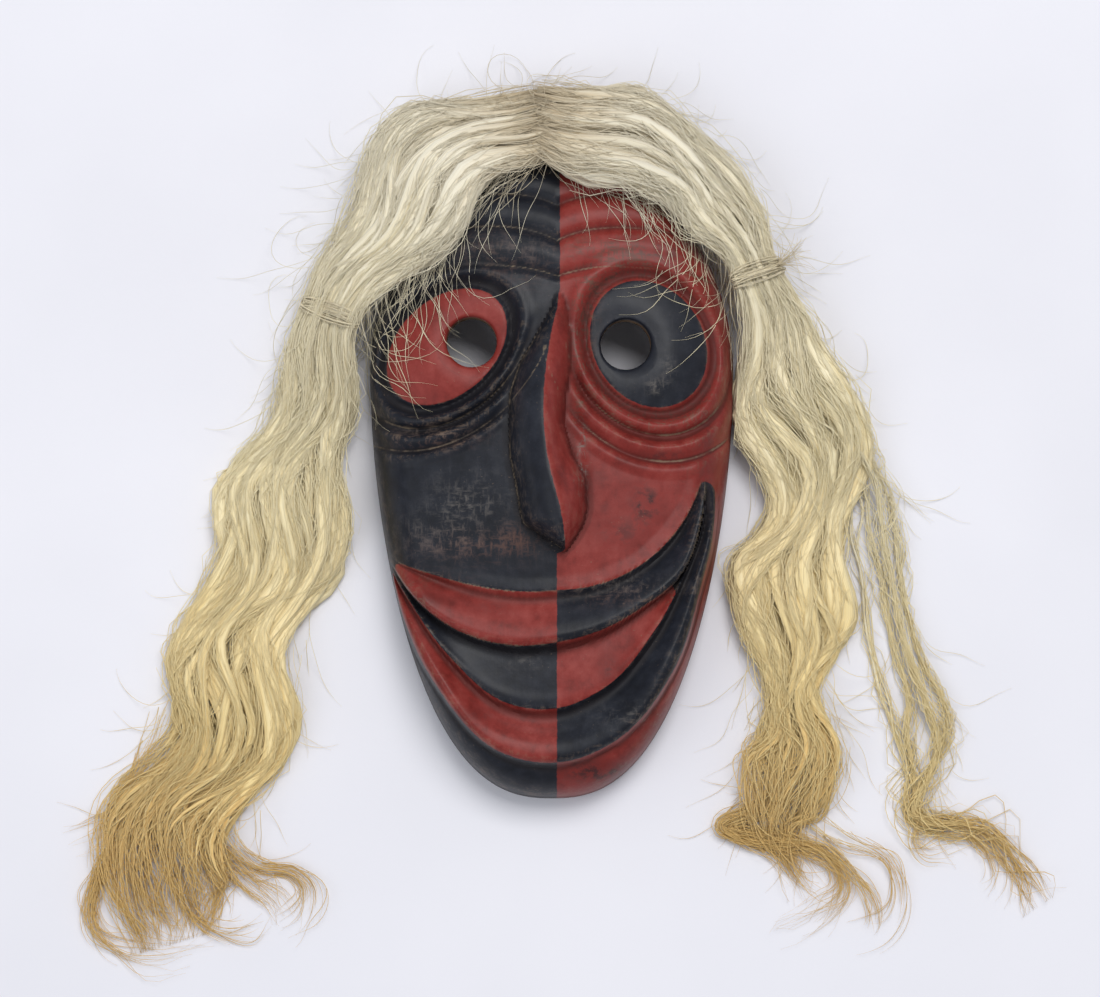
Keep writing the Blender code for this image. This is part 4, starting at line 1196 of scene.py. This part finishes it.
def tubes(name, lines, run, radius_across, radius_up, sides, seeds):
    """Rings of points along every line: across is the way turned a quarter about the vertical, up is square to
    both, and each ring is their cosine and sine times the radii."""
    count, rows = lines.shape[:2]
    way = np.gradient(lines, axis=1)
    way = way / np.linalg.norm(way, axis=-1, keepdims=True)
    across = np.stack((-way[..., 1], way[..., 0], np.zeros((count, rows))), axis=-1)
    across = across / np.maximum(np.linalg.norm(across, axis=-1, keepdims=True), 1e-6)
    up = np.cross(way, across)
    turn = 2 * math.pi * (np.arange(sides) + 0.25) / sides
    ring = (across[:, :, None] * (radius_across[..., None] * np.cos(turn))[..., None]
            + up[:, :, None] * (radius_up[..., None] * np.sin(turn))[..., None])
    points = (lines[:, :, None] + ring).reshape(-1, 3)
    number = np.arange(count * rows * sides).reshape(count, rows, sides)
    low, high = number[:, :-1], number[:, 1:]
    walls = np.stack((low, np.roll(low, -1, axis=2), np.roll(high, -1, axis=2), high), axis=-1).reshape(-1, 4)
    caps = [number[:, 0, ::-1], number[:, -1]]
    mesh = mesh_of(name, points, [walls[:, ::-1]] + [cap[:, ::-1] for cap in caps])
    around = np.stack((np.cos(turn), np.sin(turn)), axis=-1)
    chart = np.zeros((count, rows, sides, 3), dtype=np.float32)
    chart[..., :2] = around + 7 * seeds[:, None, None, None]
    chart[..., 2] = run[:, :, None]
    layer = mesh.attributes.new("hair_map", "FLOAT_VECTOR", "POINT")
    layer.data.foreach_set("vector", chart.ravel())
    return mesh


def hair_piece(name, lines, run, radius_across, radius_up, sides, seeds, node, material):
    """A hair mesh as a smooth-shaded piece of its own."""
    mesh = tubes(name, lines, run, radius_across, radius_up, sides, seeds)
    mesh.polygons.foreach_set("use_smooth", np.ones(len(mesh.polygons), dtype=bool))
    mesh.materials.append(material)
    piece = new_piece(name, mesh, node)
    print(name, "triangles:", triangles_in(mesh))
    return piece


print("a hair's triangles for each step along it:", 2 * HAIR_SIDES)

# %% [markdown]
# The horsehair is pale cream over the crown and turns golden towards the ends. A single colour would look like
# thread. Its finish follows the hair instead: the colour ramp runs with the length, and a noise that is squeezed
# along the strand reads as fine streaks. A little sheen stands for the light that real hairs let through.

# %% Horsehair finish
HAIR_LENGTH = 0.46
TONE_PLACES = (0.16, 0.30, 0.62, 0.90, 1.0)
STREAK_TONES = ((0.28, (0.60, 0.52, 0.38)), (0.43, (0.92, 0.88, 0.80)), (0.58, (1.0, 1.0, 1.0)))


def horsehair_material(name, tones):
    """Cream to gold along the hair, times fine streaks round it and soft patches along it."""
    material, tree, shader = new_material(name, 0.47)
    chart = add_node(tree, "ShaderNodeAttribute", attribute_name="hair_map").outputs["Vector"]
    along = add_node(tree, "ShaderNodeSeparateXYZ", inputs={"Vector": chart}).outputs["Z"]
    patch = stretched_noise(tree, chart, (0.6, 0.6, 14.0), 1.0, 2.0)
    place = sum_of(tree, "ADD", sum_of(tree, "DIVIDE", along, HAIR_LENGTH), sum_of(tree, "MULTIPLY", patch, 0.34))
    base = colour_ramp(tree, place, list(zip(TONE_PLACES, tones)))
    streak = stretched_noise(tree, chart, (11.0, 11.0, 9.0), 1.0, 3.0, 0.6)
    streaks = colour_ramp(tree, streak, STREAK_TONES)
    tree.links.new(mixed(tree, "MULTIPLY", 0.72, base, streaks), shader.inputs["Base Color"])
    bump = add_node(tree, "ShaderNodeBump", inputs={"Height": streak, "Strength": 0.5, "Distance": 0.0006})
    tree.links.new(bump.outputs["Normal"], shader.inputs["Normal"])
    shader.inputs["Specular IOR Level"].default_value = 0.50
    shader.inputs["Sheen Weight"].default_value = 0.35
    shader.inputs["Sheen Roughness"].default_value = 0.45
    shader.inputs["Sheen Tint"].default_value = (1.0, 0.92, 0.74, 1.0)
    return material


# From the root to the end of the hair
HAIR_TONES = ((0.66, 0.54, 0.36), (0.90, 0.85, 0.70), (0.98, 0.88, 0.59), (0.98, 0.79, 0.39), (0.86, 0.58, 0.21))
horsehair = horsehair_material("horsehair", HAIR_TONES)
print("tones from root to end:", len(HAIR_TONES))

# %% [markdown]
# A real hank holds thousands of hairs, most of them hidden. Modelling all of them would be too heavy, and a painted
# block too smooth. So each hank is built in layers: flat lock cores fill it, so that nothing shows through, and
# hairs lie over every core and run on past its end, which gives the broken, silky surface.

# %% Fill the hanks
LOCK_SIDES = 8
LOCK_ROWS = 48
HAIR_ROWS = 17
HAIR_RADIUS = 0.00017
TOP_LOCKS = 0.55
CORE_START_SPREAD = 0.15
CORE_TIP, CORE_ROOT = 0.35, 0.04
RING_START, RING_SPREAD = 0.85, 1.1
TURN_OVERLAP = 0.3
LEAST_OWN, WILD = 0.0007, 0.0042
LONGER_BEFORE = 1.2


def lock_cores(dice, name, hank, face_side, locks, start, stops, node, rows=LOCK_ROWS):
    """Flattened tubes through the middles of the locks, thin at both ends."""
    count = len(locks["share"])
    begin = start + dice.uniform(0.0, CORE_START_SPREAD, count)
    end = dice.uniform(*stops, count)
    still = np.zeros(count)
    waves = wave_set(dice, count, OWN_WAVE_LENGTH)
    lines, run = hair_lines(hank, face_side, locks, np.arange(count), begin, end, rows, still, still, still, waves)
    place = np.linspace(0, 1, rows)
    taper = np.sqrt(np.clip(place / CORE_ROOT, 0.15, 1)) * np.clip((1 - place) / CORE_TIP, 0.05, 1) ** 0.8
    width, depth = [hank_frame(hank, begin[:, None] + (end - begin)[:, None] * place)[i] for i in (2, 4)]
    flat = locks["breadth"][:, None] * width * taper
    tall = locks["height"] * depth * taper
    lines[..., 2] = np.maximum(lines[..., 2], tall + FACE_CLEARANCE)
    return hair_piece(name, lines, run, flat, tall, LOCK_SIDES, dice.random(count), node, horsehair)


def lock_hairs(dice, name, hank, face_side, locks, count, first, last, lengths,
               rows=HAIR_ROWS, wild=WILD, offset=0.0):
    """Hairs that lie over the locks: each picks a lock, mostly one of the upper ones, a ring just outside its
    core, a turn in the upper half, a start between first and last and a length, both in stations."""
    ranked = np.argsort(locks["level"] + dice.uniform(-0.15, 0.15, len(locks["level"])))
    upper = dice.random(count) ** TOP_LOCKS
    pick = ranked[np.clip((upper * len(ranked)).astype(int), 0, len(ranked) - 1)]
    earliest = first + dice.uniform(0.0, CORE_START_SPREAD, count)
    begin = np.maximum(earliest, dice.uniform(first - LONGER_BEFORE, last, count))
    end = np.minimum(begin + dice.uniform(*lengths, count), len(hank) - 1)
    begin = np.minimum(begin, end - 0.5)
    ring = RING_START + RING_SPREAD * dice.random(count) ** 2
    turn = dice.uniform(-TURN_OVERLAP, math.pi + TURN_OVERLAP, count)
    own = LEAST_OWN + wild * dice.random(count) ** 2.5
    waves = wave_set(dice, count, OWN_WAVE_LENGTH)
    lines, run = hair_lines(hank, face_side, locks, pick, begin, end, rows, ring, turn, own, waves)
    taper = np.clip((1 - np.linspace(0, 1, rows)) / 0.15, 0.30, 1) * np.clip(0.5 + np.linspace(0, 5, rows), 0, 1)
    radius = HAIR_RADIUS * dice.uniform(0.7, 1.3, (count, 1)) * taper
    seeds = dice.random(count)
    return hair_piece(name, lines, run + offset, radius, radius, HAIR_SIDES, seeds, None, horsehair)


print("triangles of a lock core:", (LOCK_ROWS - 1) * 2 * LOCK_SIDES + 2 * (LOCK_SIDES - 2))

# %% [markdown]
# The two hanks differ only in their stations and a few numbers, so one loop fills both. The photograph's stray lock
# is thinner and combed less, so it has fewer locks, a smaller sway and wilder hairs. Each hank has dice of its own,
# so changing one doesn't shuffle the other.

# %% Hanks and stray lock
LOCK_LEVELS = 3
LOCK_HEIGHT = 0.11
CROWN_LENGTHS, FALL_LENGTHS = (1.6, 3.2), (1.8, 3.6)
CROWN_LAST, FALL_FIRST = 3.4, 2.6
STRAY_OFFSET = 0.14
HANKS = {
    "left": dict(seed=11, hank=LEFT_HANK, face_side=1, across=17, breadth=0.060, phase=-0.2,
                 core_start=0.06, core_stops=(7.8, 9.8), crown=(1360, 0.04), fall=(1420, 8.6)),
    "right": dict(seed=23, hank=RIGHT_HANK, face_side=-1, across=16, breadth=0.064, phase=2.0,
                  core_start=0.08, core_stops=(8.8, 10.8), crown=(1300, 0.06), fall=(1380, 9.4)),
}

for side, this in HANKS.items():
    dice = np.random.default_rng(this["seed"])
    locks = hank_locks(dice, this["across"], LOCK_LEVELS, this["breadth"], LOCK_HEIGHT, phase=this["phase"])
    laid = (this["hank"], this["face_side"], locks)
    lock_cores(dice, f"lock_cores_{side}", *laid, this["core_start"], this["core_stops"], f"hair_{side}")
    crown_count, crown_first = this["crown"]
    lock_hairs(dice, f"hairs_{side}_crown", *laid, crown_count, crown_first, CROWN_LAST, CROWN_LENGTHS)
    fall_count, fall_last = this["fall"]
    lock_hairs(dice, f"hairs_{side}_fall", *laid, fall_count, FALL_FIRST, fall_last, FALL_LENGTHS)

stray_dice = np.random.default_rng(31)
stray_locks = hank_locks(stray_dice, 5, 1, 0.022, 0.12, sway=0.3, lively=1.2)
lock_cores(stray_dice, "lock_cores_stray", STRAY_LOCK, -1, stray_locks, 0.0, (5.6, 7.4), "hair_right", rows=40)
lock_hairs(stray_dice, "hairs_stray", STRAY_LOCK, -1, stray_locks, 210, 0.0, 5.5, (3.0, 5.0),
           rows=22, wild=0.008, offset=STRAY_OFFSET)

# %% [markdown]
# The ends of the hanks thin out into loose curls on the ground. The long hairs could be bent there, but then each
# hank would end in one shape. So each curl is a short hank of its own with a few locks, and its stations follow the
# curl round. They start deep in the hank, so they look like its longest hairs.

# %% Curls at the ends
LEFT_CURLS = (
    ((-0.545, 0.075), (-0.590, 0.011), (-0.634, -0.035), (-0.680, -0.082), (-0.711, -0.135), (-0.717, -0.182),
     (-0.698, -0.220), (-0.649, -0.243), (-0.572, -0.251), (-0.500, -0.240)),
    ((-0.560, 0.020), (-0.595, -0.051), (-0.634, -0.097), (-0.638, -0.143), (-0.618, -0.182), (-0.588, -0.205),
     (-0.545, -0.210)),
    ((-0.500, 0.075), (-0.528, 0.020), (-0.549, -0.012), (-0.534, -0.058), (-0.503, -0.094), (-0.465, -0.128),
     (-0.426, -0.158), (-0.405, -0.190)),
    ((-0.530, 0.000), (-0.500, -0.070), (-0.455, -0.105), (-0.403, -0.115), (-0.378, -0.143), (-0.388, -0.182),
     (-0.430, -0.212)),
    ((-0.590, 0.180), (-0.618, 0.098), (-0.640, 0.040), (-0.650, 0.005), (-0.672, -0.030), (-0.705, -0.058),
     (-0.745, -0.078)),
    ((-0.560, -0.040), (-0.575, -0.110), (-0.560, -0.165), (-0.520, -0.200), (-0.470, -0.205), (-0.435, -0.175)),
)
RIGHT_CURLS = (
    ((0.392, 0.071), (0.362, 0.011), (0.306, -0.026), (0.264, -0.042), (0.285, -0.055), (0.352, -0.066),
     (0.420, -0.090), (0.446, -0.125), (0.440, -0.158), (0.400, -0.190), (0.335, -0.212)),
    ((0.372, 0.040), (0.330, -0.005), (0.283, -0.036), (0.300, -0.060), (0.354, -0.080), (0.384, -0.115),
     (0.405, -0.165)),
    ((0.350, -0.045), (0.430, -0.090), (0.482, -0.143), (0.497, -0.189), (0.485, -0.215)),
    ((0.350, 0.010), (0.440, -0.055), (0.515, -0.095), (0.532, -0.150), (0.510, -0.195), (0.450, -0.205)),
    ((0.563, 0.030), (0.575, -0.026), (0.628, -0.043), (0.674, -0.082), (0.689, -0.128), (0.671, -0.155)),
    ((0.558, 0.020), (0.560, -0.030), (0.557, -0.070), (0.580, -0.095), (0.625, -0.090)),
)
CURL_ROWS = 24
CURL_WIDTHS = (0.050, 0.022, 0.058)
CURL_DEPTHS = (0.006, 0.004, 0.003)
CURL_NECK = (0, 0.4, 1)
CURL_LOCKS = 5
LEFT_COUNTS, RIGHT_COUNTS = (64, 28, 60, 34, 26, 22), (110, 50, 26, 18, 26, 14)


def curl_hank(places):
    """A curl as a hank: its width narrows and opens again, and it lies a few millimetres deep on the floor."""
    share = np.linspace(0, 1, len(places))
    widths, depths = [np.interp(share, CURL_NECK, sizes) for sizes in (CURL_WIDTHS, CURL_DEPTHS)]
    return tuple((s, t, width, 0.0, depth) for (s, t), width, depth in zip(places, widths, depths))


def curls(dice, side, tables, counts, offset):
    """The hairs of every curl in one piece: each curl has its own locks, waves and seeds."""
    parts = []
    for places, count in zip(tables, counts):
        hank = curl_hank(places)
        last = len(hank) - 1
        locks = hank_locks(dice, CURL_LOCKS, 1, 0.12, 0.30, sway=0.10, lively=0.5)
        pick = dice.integers(0, CURL_LOCKS, count)
        begin = dice.uniform(0.0, 0.45, count) * last
        end = np.maximum(dice.uniform(0.50, 1.0, count) * last, begin + 1.5)
        own = 0.0005 + 0.0028 * dice.random(count) ** 2
        ring, turn = dice.uniform(0, 1.8, count), dice.uniform(0, 2 * math.pi, count)
        waves = wave_set(dice, count, OWN_WAVE_LENGTH)
        lines, run = hair_lines(hank, 1, locks, pick, begin, np.minimum(end, last), CURL_ROWS, ring, turn, own, waves)
        parts.append((lines, run + offset))
    lines = np.concatenate([part[0] for part in parts])
    run = np.concatenate([part[1] for part in parts])
    taper = np.clip((1 - np.linspace(0, 1, CURL_ROWS)) / 0.25, 0.25, 1)
    radius = 0.85 * HAIR_RADIUS * dice.uniform(0.7, 1.2, (len(lines), 1)) * taper
    seeds = dice.random(len(lines))
    return hair_piece(f"curls_{side}", lines, run, radius, radius, HAIR_SIDES, seeds, None, horsehair)


curl_dice = np.random.default_rng(47)
curls(curl_dice, "left", LEFT_CURLS, LEFT_COUNTS, run_at(LEFT_HANK, 8.3))
curls(curl_dice, "right", RIGHT_CURLS, RIGHT_COUNTS, run_at(RIGHT_HANK, 8.8))

# %% [markdown]
# Old horsehair is springy, so single hairs stand off everywhere: over the forehead and eyes, and round the outline.
# A noise on the hanks' own hairs would roughen them all alike. So these are hairs of their own, and each is a walk:
# its heading bends steadily, with a small sine on top, and it settles on whatever is below it.

# %% Loose hairs
LOOSE_ROWS = 15
ROOT_DEPTH = 0.28
BEND_RUN = 0.03
RIPPLE_LENGTH = 0.028
SETTLE_PACE = 1.3


def loose_hairs(dice, name, hank, count, stations, edge, lean, lengths, curl, hover, offset=0.0):
    """Hairs that leave a hank near an edge. Places come from adding up steps along a heading that turns evenly
    from its start, and the height falls from the hank's top to a small hover over the wood or the floor."""
    u = dice.uniform(*stations, count)
    middle, aside, width, lift, depth = hank_frame(hank, u)
    outward = np.sign(edge - 0.5)
    start = middle + aside * width * (edge - 0.5 - outward * dice.uniform(0.0, ROOT_DEPTH, count))
    way = np.arctan2(-aside[0], aside[1]) + outward * dice.uniform(*lean, count)
    length = lengths[0] + (lengths[1] - lengths[0]) * dice.random(count) ** 2.2
    bend = curl * dice.normal(0, 1.0, count)
    place = np.linspace(0, 1, LOOSE_ROWS)
    travelled = length[:, None] * place
    strength = dice.uniform(0.05, 0.35, (count, 1))
    ripple = strength * np.sin(2 * math.pi * (travelled / RIPPLE_LENGTH + dice.random((count, 1))))
    heading = way[:, None] + bend[:, None] * travelled / BEND_RUN + ripple
    step = (length / (LOOSE_ROWS - 1))[:, None]
    x = start[0][:, None] + np.cumsum(step * np.cos(heading), axis=1)
    y = start[1][:, None] + np.cumsum(step * np.sin(heading), axis=1)
    top = (drape(*to_shares(*start)) * lift + 0.85 * depth)[:, None]
    ground = top_of_wood(*to_shares(x, y)) + FACE_CLEARANCE
    rise = hover * dice.random((count, 1)) * np.sin(math.pi * np.clip(0.15 + place, 0, 1))
    height = np.maximum(ground, top * (1 - eased(place * SETTLE_PACE)) + rise)
    lines = np.stack((x, y, height), axis=-1)
    run = np.interp(u, *hank_run(hank))[:, None] + travelled + offset
    radius = 0.68 * HAIR_RADIUS * dice.uniform(0.8, 1.2, (count, 1)) * np.clip((1 - place) / 0.3, 0.3, 1)
    return hair_piece(name, lines, run, radius, radius, HAIR_SIDES, dice.random(count), None, horsehair)


# Name, hank, count, stations, edge, lean, lengths, curl, hover
LOOSE_HAIRS = (
    ("forehead_hairs_left", LEFT_HANK, 300, (0.2, 3.1), 1.0, (-0.1, 0.80), (0.010, 0.058), 0.80, 0.004),
    ("forehead_hairs_right", RIGHT_HANK, 260, (0.2, 2.9), 0.0, (-0.1, 0.75), (0.010, 0.060), 0.80, 0.004),
    ("crown_flyaways_left", LEFT_HANK, 120, (0.1, 4.0), 0.0, (0.0, 0.8), (0.012, 0.048), 1.2, 0.006),
    ("crown_flyaways_right", RIGHT_HANK, 120, (0.1, 4.0), 1.0, (0.0, 0.8), (0.012, 0.048), 1.2, 0.006),
    ("root_hairs", LEFT_HANK, 90, (0.02, 0.5), 0.2, (-2.6, 2.6), (0.010, 0.034), 1.6, 0.002),
    ("fall_flyaways_left_out", LEFT_HANK, 80, (3.6, 8.8), 0.0, (0.0, 0.40), (0.015, 0.044), 1.0, 0.002),
    ("fall_flyaways_left_in", LEFT_HANK, 80, (4.0, 8.8), 1.0, (0.0, 0.45), (0.015, 0.050), 1.0, 0.002),
    ("fall_flyaways_right_out", RIGHT_HANK, 80, (3.6, 10.6), 1.0, (0.0, 0.45), (0.015, 0.050), 1.0, 0.002),
    ("fall_flyaways_right_in", RIGHT_HANK, 80, (4.0, 10.6), 0.0, (0.0, 0.50), (0.015, 0.055), 1.0, 0.002),
    ("stray_flyaways", STRAY_LOCK, 50, (0.3, 5.0), 1.0, (-0.4, 0.4), (0.020, 0.050), 0.8, 0.002, STRAY_OFFSET),
)
loose_dice = np.random.default_rng(59)
for name, *settings in LOOSE_HAIRS:
    loose_hairs(loose_dice, name, *settings)

# %% [markdown]
# A few turns of hair are wound round each hank beside the temple to gather it. A plain ring would look like a
# rubber band. A turn is a helix on an oval that is as wide and deep as the hank there, and many thin strands with
# slightly unlike ovals make up the winding. The left one is snugger, so that hairs lie over it, as they really do.

# %% Hair ties
TIE_WIDTH = 0.0060
TIE_TURNS = 2.0
TIE_ROWS = 44
TIE_STRANDS = 30
TIE_LEVEL = 0.50
TIE_HALF_DEPTH = 0.68
TIE_HALF_WIDTH = 0.54
TIE_SIDES = 4
LEFT_SNUG, RIGHT_SNUG = 0.86, 1.0
TIE_TONES = ((0.70, 0.60, 0.42), (0.88, 0.80, 0.60), (0.92, 0.82, 0.56), (0.80, 0.64, 0.38), (0.60, 0.42, 0.20))


def hair_tie(dice, side, hank, snug):
    """Helices round the pinched hank: sideways is the cosine of the turn, up is its sine, and each strand
    wanders along the hank at its own slant. A snugger tie has a smaller oval."""
    middle, aside, width, lift, depth = hank_frame(hank, float(PINCH_STATION))
    along = np.array((aside[1], -aside[0]))
    place = np.linspace(0, 1, TIE_ROWS)
    turn = dice.uniform(0, 2 * math.pi, (TIE_STRANDS, 1)) + 2 * math.pi * TIE_TURNS * place
    grow = snug * (dice.uniform(0.95, 1.12, (TIE_STRANDS, 1)) + 0.03 * np.sin(3 * turn))
    slant = dice.uniform(-0.5, 0.5, (TIE_STRANDS, 1))
    run = TIE_WIDTH * (dice.uniform(-0.5, 0.5, (TIE_STRANDS, 1)) + slant * np.sin(turn))
    sideways = TIE_HALF_WIDTH * width * grow * np.cos(turn)
    x = middle[0] + aside[0] * sideways + along[0] * run
    y = middle[1] + aside[1] * sideways + along[1] * run
    height = drape(*to_shares(x, y)) * lift + depth * (TIE_LEVEL + TIE_HALF_DEPTH * grow * np.sin(turn))
    height = np.maximum(height, top_of_wood(*to_shares(x, y)) + FACE_CLEARANCE)
    lines = np.stack((x, y, height), axis=-1)
    radius = 1.3 * HAIR_RADIUS * np.ones(x.shape)
    length = np.cumsum(np.linalg.norm(np.diff(lines, axis=1, prepend=lines[:, :1]), axis=-1), axis=1)
    return hair_piece(f"wound_tie_{side}", lines, length, radius, radius, TIE_SIDES, dice.random(TIE_STRANDS),
                      f"hair_tie_{side}", tie_hair)


def cut_ends(dice, count, fan, length):
    """The tie's cut ends: short hairs that fan out from the outer side of the right winding."""
    middle, aside, width, lift, depth = hank_frame(RIGHT_HANK, float(PINCH_STATION))
    root = middle + aside * width * 0.45
    heading = math.atan2(aside[1], aside[0]) + dice.uniform(*fan, (count, 1))
    bend = dice.normal(0, 0.5, (count, 1))
    place = np.linspace(0, 1, LOOSE_ROWS)
    reach = length * dice.uniform(0.35, 1.0, (count, 1)) * place
    x = root[0] + reach * np.cos(heading + bend * place)
    y = root[1] + reach * np.sin(heading + bend * place)
    level = float(drape(*to_shares(*middle)) * lift + depth * TIE_LEVEL)
    height = level + dice.uniform(-0.003, 0.006, (count, 1)) + 0.004 * place
    radius = HAIR_RADIUS * (1 - 0.7 * place) * np.ones((count, 1))
    lines = np.stack((x, y, height), axis=-1)
    seeds = dice.random(count)
    return hair_piece("tie_ends_right", lines, reach, radius, radius, HAIR_SIDES, seeds, None, tie_hair)


tie_hair = horsehair_material("tie_hair", TIE_TONES)
tie_dice = np.random.default_rng(71)
hair_tie(tie_dice, "left", LEFT_HANK, LEFT_SNUG)
hair_tie(tie_dice, "right", RIGHT_HANK, RIGHT_SNUG)
cut_ends(tie_dice, 34, (-0.5, 0.9), 0.017)

# %% [markdown]
# The mask needs something pale to lie on, so that its dark paint and its loose hairs both stand out. A bare world
# would leave it floating without a shadow. One large flat sheet is enough, with a faint cloud and a fine fibre in
# its finish.

# %% Floor
FLOOR_HALF, FLOOR_LEVEL = 6, -0.0005
FLOOR_TONES = ((0.80, 0.80, 0.86), (0.84, 0.84, 0.90))


def floor_material():
    """A plain pale sheet: a faint cloud between two tones, matt, with a very small bump."""
    material, tree, shader = new_material("pale_sheet", 0.85)
    place = add_node(tree, "ShaderNodeTexCoord").outputs["Object"]
    cloud = stretched_noise(tree, place, (1, 1, 1), 6.0, 3.0)
    fibre = stretched_noise(tree, place, (1, 1, 1), 900.0, 2.0)
    tree.links.new(colour_ramp(tree, cloud, list(zip((0.35, 0.65), FLOOR_TONES))), shader.inputs["Base Color"])
    bump = add_node(tree, "ShaderNodeBump", inputs={"Height": fibre, "Strength": 0.15, "Distance": 0.0002})
    tree.links.new(bump.outputs["Normal"], shader.inputs["Normal"])
    return material


corners = [(x * FLOOR_HALF, y * FLOOR_HALF, FLOOR_LEVEL) for x, y in ((-1, -1), (1, -1), (1, 1), (-1, 1))]
floor_mesh = mesh_of("floor", np.array(corners), [[(0, 1, 2, 3)]])
floor = bpy.data.objects.new("floor", floor_mesh)
floor_mesh.materials.append(floor_material())
bpy.context.scene.collection.objects.link(floor)
print("floor's width in mm:", in_mm(2 * FLOOR_HALF))

# %% [markdown]
# The photograph was taken nearly square to the face, from some way off. So the camera looks almost straight down on
# the mask, with a long lens, which keeps the proportions of the face. It is aimed at a target instead of being
# turned by hand, because a direction is easier to get right than three angles.

# %% Camera
CAMERA_TILT = 86.5
CAMERA_DISTANCE = 1.60
CAMERA_TARGET = (-0.0008, 0.1241, 0.030)
CAMERA_LENS = 122.1

camera = bpy.data.objects.new("camera", bpy.data.cameras.new("camera"))
bpy.context.scene.collection.objects.link(camera)
tilt = math.radians(CAMERA_TILT)
target = Vector(CAMERA_TARGET)
camera.location = target + CAMERA_DISTANCE * Vector((0, -math.cos(tilt), math.sin(tilt)))
camera.rotation_euler = (target - camera.location).to_track_quat("-Z", "Y").to_euler()
camera.data.lens = CAMERA_LENS
bpy.context.scene.camera = camera
print("camera's place in mm:", in_mm(*camera.location))

# %% [markdown]
# A studio lights such a thing softly, so that carving shows but nothing is lost in shadow. A sun would cut hard
# edges. Two large square lamps do it: a key from beyond the brow, which throws the nose and lips into relief, and
# a weaker fill from the left. A pale world lifts the rest.

# %% Light
WORLD_COLOUR = (0.93, 0.95, 1.0, 1.0)
WORLD_STRENGTH = 0.40


def area_light(name, place, power, size, colour):
    """A square soft box that looks at the middle of the face."""
    data = bpy.data.lights.new(name, "AREA")
    data.energy = power
    data.size = size
    data.color = colour
    light = bpy.data.objects.new(name, data)
    light.location = place
    light.rotation_euler = (target - Vector(place)).to_track_quat("-Z", "Y").to_euler()
    bpy.context.scene.collection.objects.link(light)


area_light("key_light", (0.35, 0.95, 2.1), 31, 1.0, (1.0, 0.99, 0.97))
area_light("fill_light", (-1.2, -0.5, 1.6), 10, 1.4, (0.96, 0.98, 1.0))
world = bpy.data.worlds.new("studio")
world.use_nodes = True
world.node_tree.nodes["Background"].inputs["Color"].default_value = WORLD_COLOUR
world.node_tree.nodes["Background"].inputs["Strength"].default_value = WORLD_STRENGTH
bpy.context.scene.world = world
bpy.context.scene.view_settings.view_transform = "Standard"
print("lights:", len(bpy.data.lights))
